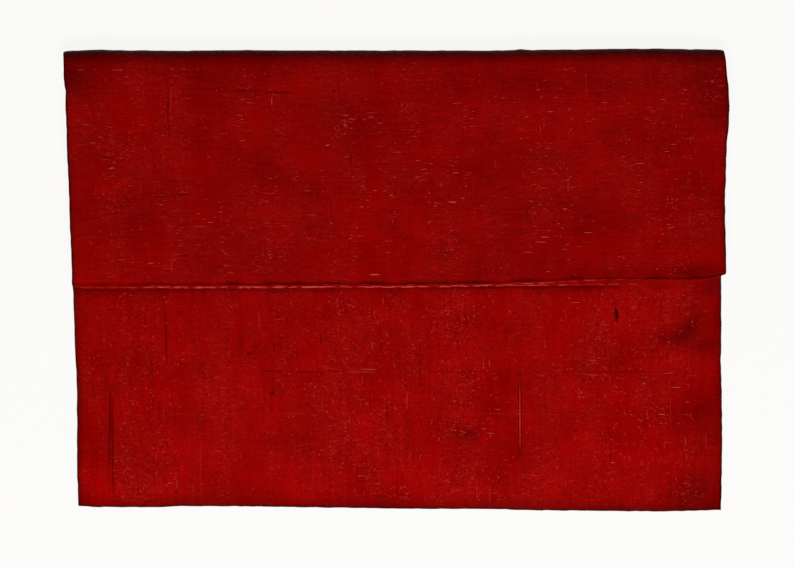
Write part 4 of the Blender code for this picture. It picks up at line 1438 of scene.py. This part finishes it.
def floor_finish():
    """A pale floor that keeps the bag's shadow and throws little light back at it."""
    material = bpy.data.materials.new("pale_floor")
    material.use_nodes = True
    tree = material.node_tree
    tree.nodes.clear()
    pale = add_node(tree, "ShaderNodeBsdfDiffuse", values={"Color": (*FLOOR_SEEN, 1.0)})
    glow = add_node(tree, "ShaderNodeEmission", values={"Color": (*FLOOR_SEEN, 1.0), "Strength": 1.0})
    shown = add_node(
        tree, "ShaderNodeMixShader", {1: pale.outputs[0], 2: glow.outputs[0]}, {0: FLOOR_GLOW},
    )
    dim = add_node(tree, "ShaderNodeBsdfDiffuse", values={"Color": (*FLOOR_BOUNCE, 1.0)})
    both = add_node(
        tree, "ShaderNodeMixShader", {0: seen_directly(tree), 1: dim.outputs[0], 2: shown.outputs[0]},
    )
    add_node(tree, "ShaderNodeOutputMaterial", {"Surface": both.outputs[0]})
    return material


def build_floor():
    """A plain pale floor, just under what the bag rests on."""
    half = FLOOR_HALF
    low = -FLOOR_DROP
    corners = np.array([(-half, -half, low), (half, -half, low), (half, half, low), (-half, half, low)])
    floor = mesh_piece("floor", corners, [(0, 1, 2, 3)], floor_finish())


def build_world():
    """A white room to look at, which throws little light on the bag."""
    world = bpy.data.worlds.new("pale_room")
    bpy.context.scene.world = world
    world.use_nodes = True
    tree = world.node_tree
    seen = math_node(tree, "MULTIPLY", seen_directly(tree), WORLD_SEEN - WORLD_LIGHT)
    strength = math_node(tree, "ADD", seen, WORLD_LIGHT)
    background = tree.nodes["Background"]
    background.inputs["Color"].default_value = (1.0, 1.0, 1.0, 1.0)
    tree.links.new(strength, background.inputs["Strength"])


def build_camera():
    """Straight above, framed as in the photograph."""
    x, y = photo_place(PHOTO_WIDTH / 2, PHOTO_HEIGHT / 2)
    data = bpy.data.cameras.new("camera")
    data.sensor_width = SENSOR
    data.lens = SENSOR * (CAMERA_HEIGHT - CAMERA_PLANE) / (PHOTO_WIDTH * PIXEL)
    camera = bpy.data.objects.new("camera", data)
    camera.location = (x, y, CAMERA_HEIGHT)
    bpy.context.scene.collection.objects.link(camera)
    bpy.context.scene.camera = camera


def build_light():
    """One softbox from the foot of the bag."""
    data = bpy.data.lights.new("softbox", "AREA")
    data.shape = "RECTANGLE"
    data.size, data.size_y = SOFTBOX_SIZE
    data.energy = SOFTBOX_POWER
    light = bpy.data.objects.new("softbox", data)
    light.location = SOFTBOX_PLACE
    facing = Vector(SOFTBOX_TARGET) - Vector(SOFTBOX_PLACE)
    light.rotation_euler = facing.to_track_quat("-Z", "Y").to_euler()
    bpy.context.scene.collection.objects.link(light)


# Loose threads on the flap and on the front: how many of each kind, and the seed of their draw
FLAP_WEFTS = (200, 71)
FRONT_WEFTS = (55, 72)
FLAP_WARPS = (150, 73)
FRONT_WARPS = (330, 74)
FLAP_CURLS = (230, 76)
FRONT_CURLS = (760, 77)
HEM_SEED = 75
# How far they stay from the hem, on the flap and below it, and from the foot
ABOVE_HEM = 4 * MM
BELOW_HEM = 2 * MM
ABOVE_FOOT = 3 * MM


def add_piece(piece):
    """A piece rides on the bag's one body."""
    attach(piece, "root")
    return piece


def build_bag():
    """Silk, lining and threads, with finishes for the magnets and sleeves of the solids."""
    weave = weave_group()
    unevenness = slub_group()
    silk = silk_finish(weave, unevenness)
    lift = MAGNET_ROOM / 2
    silk_outer = Strip(0.0, lift, -lift)
    silk_inner = Strip(SILK, lift, -lift)
    shell = sewn_cloth("silk_shell", silk_outer, silk_inner, silk)
    add_piece(shell)
    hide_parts("outer_shell")
    lining_outer = Strip(SILK + CLEARANCE, lift - MAGNET_ROOM, -lift - MAGNET_ROOM)
    lining_inner = Strip(LAYERS, lift - MAGNET_ROOM, -lift - MAGNET_ROOM)
    lining = sewn_cloth("lining_cloth", lining_outer, lining_inner, lining_finish(weave, unevenness))
    add_piece(lining)
    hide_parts("lining")

    thread = slub_finish(unevenness)
    flap = ("flap", FLAP_STREAMS, HEM_Y + ABOVE_HEM, FOLD_Y)
    front = ("front", FRONT_STREAMS, FOOT_Y + ABOVE_FOOT, HEM_Y - BELOW_HEM)
    weft = weft_dashes(silk_outer, *flap, *FLAP_WEFTS)
    weft += weft_dashes(silk_outer, *front, *FRONT_WEFTS)
    warp = warp_lines(silk_outer, *flap, *FLAP_WARPS)
    warp += warp_lines(silk_outer, *front, *FRONT_WARPS)
    curls = curled_fibres(silk_outer, *flap, *FLAP_CURLS)
    curls += curled_fibres(silk_outer, *front, *FRONT_CURLS)
    named = [named_slub(silk_outer, slub) for slub in NAMED_SLUBS]
    for name, groups in (
        ("weft_slubs", weft),
        ("warp_slubs", warp),
        ("curled_fibres", curls),
        ("long_slubs", named),
        ("hem_strands", hem_strands(silk_outer, HEM_SEED)),
    ):
        places, faces, tones = thread_mesh(groups)
        piece = mesh_piece(name, places, faces, thread)
        keep_number(piece, "thread_tone", tones)
        add_piece(piece)

    nickel = nickel_finish()
    plastic = sleeve_finish()
    for name, finish in (
        ("flap_magnet", nickel), ("front_magnet", nickel),
        ("flap_magnet_sleeve", plastic), ("front_magnet_sleeve", plastic),
    ):
        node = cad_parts[name]
        node.data.materials.clear()
        node.data.materials.append(finish)


build_floor()
build_world()
build_camera()
build_light()
build_bag()
bpy.context.scene.view_settings.view_transform = "Standard"
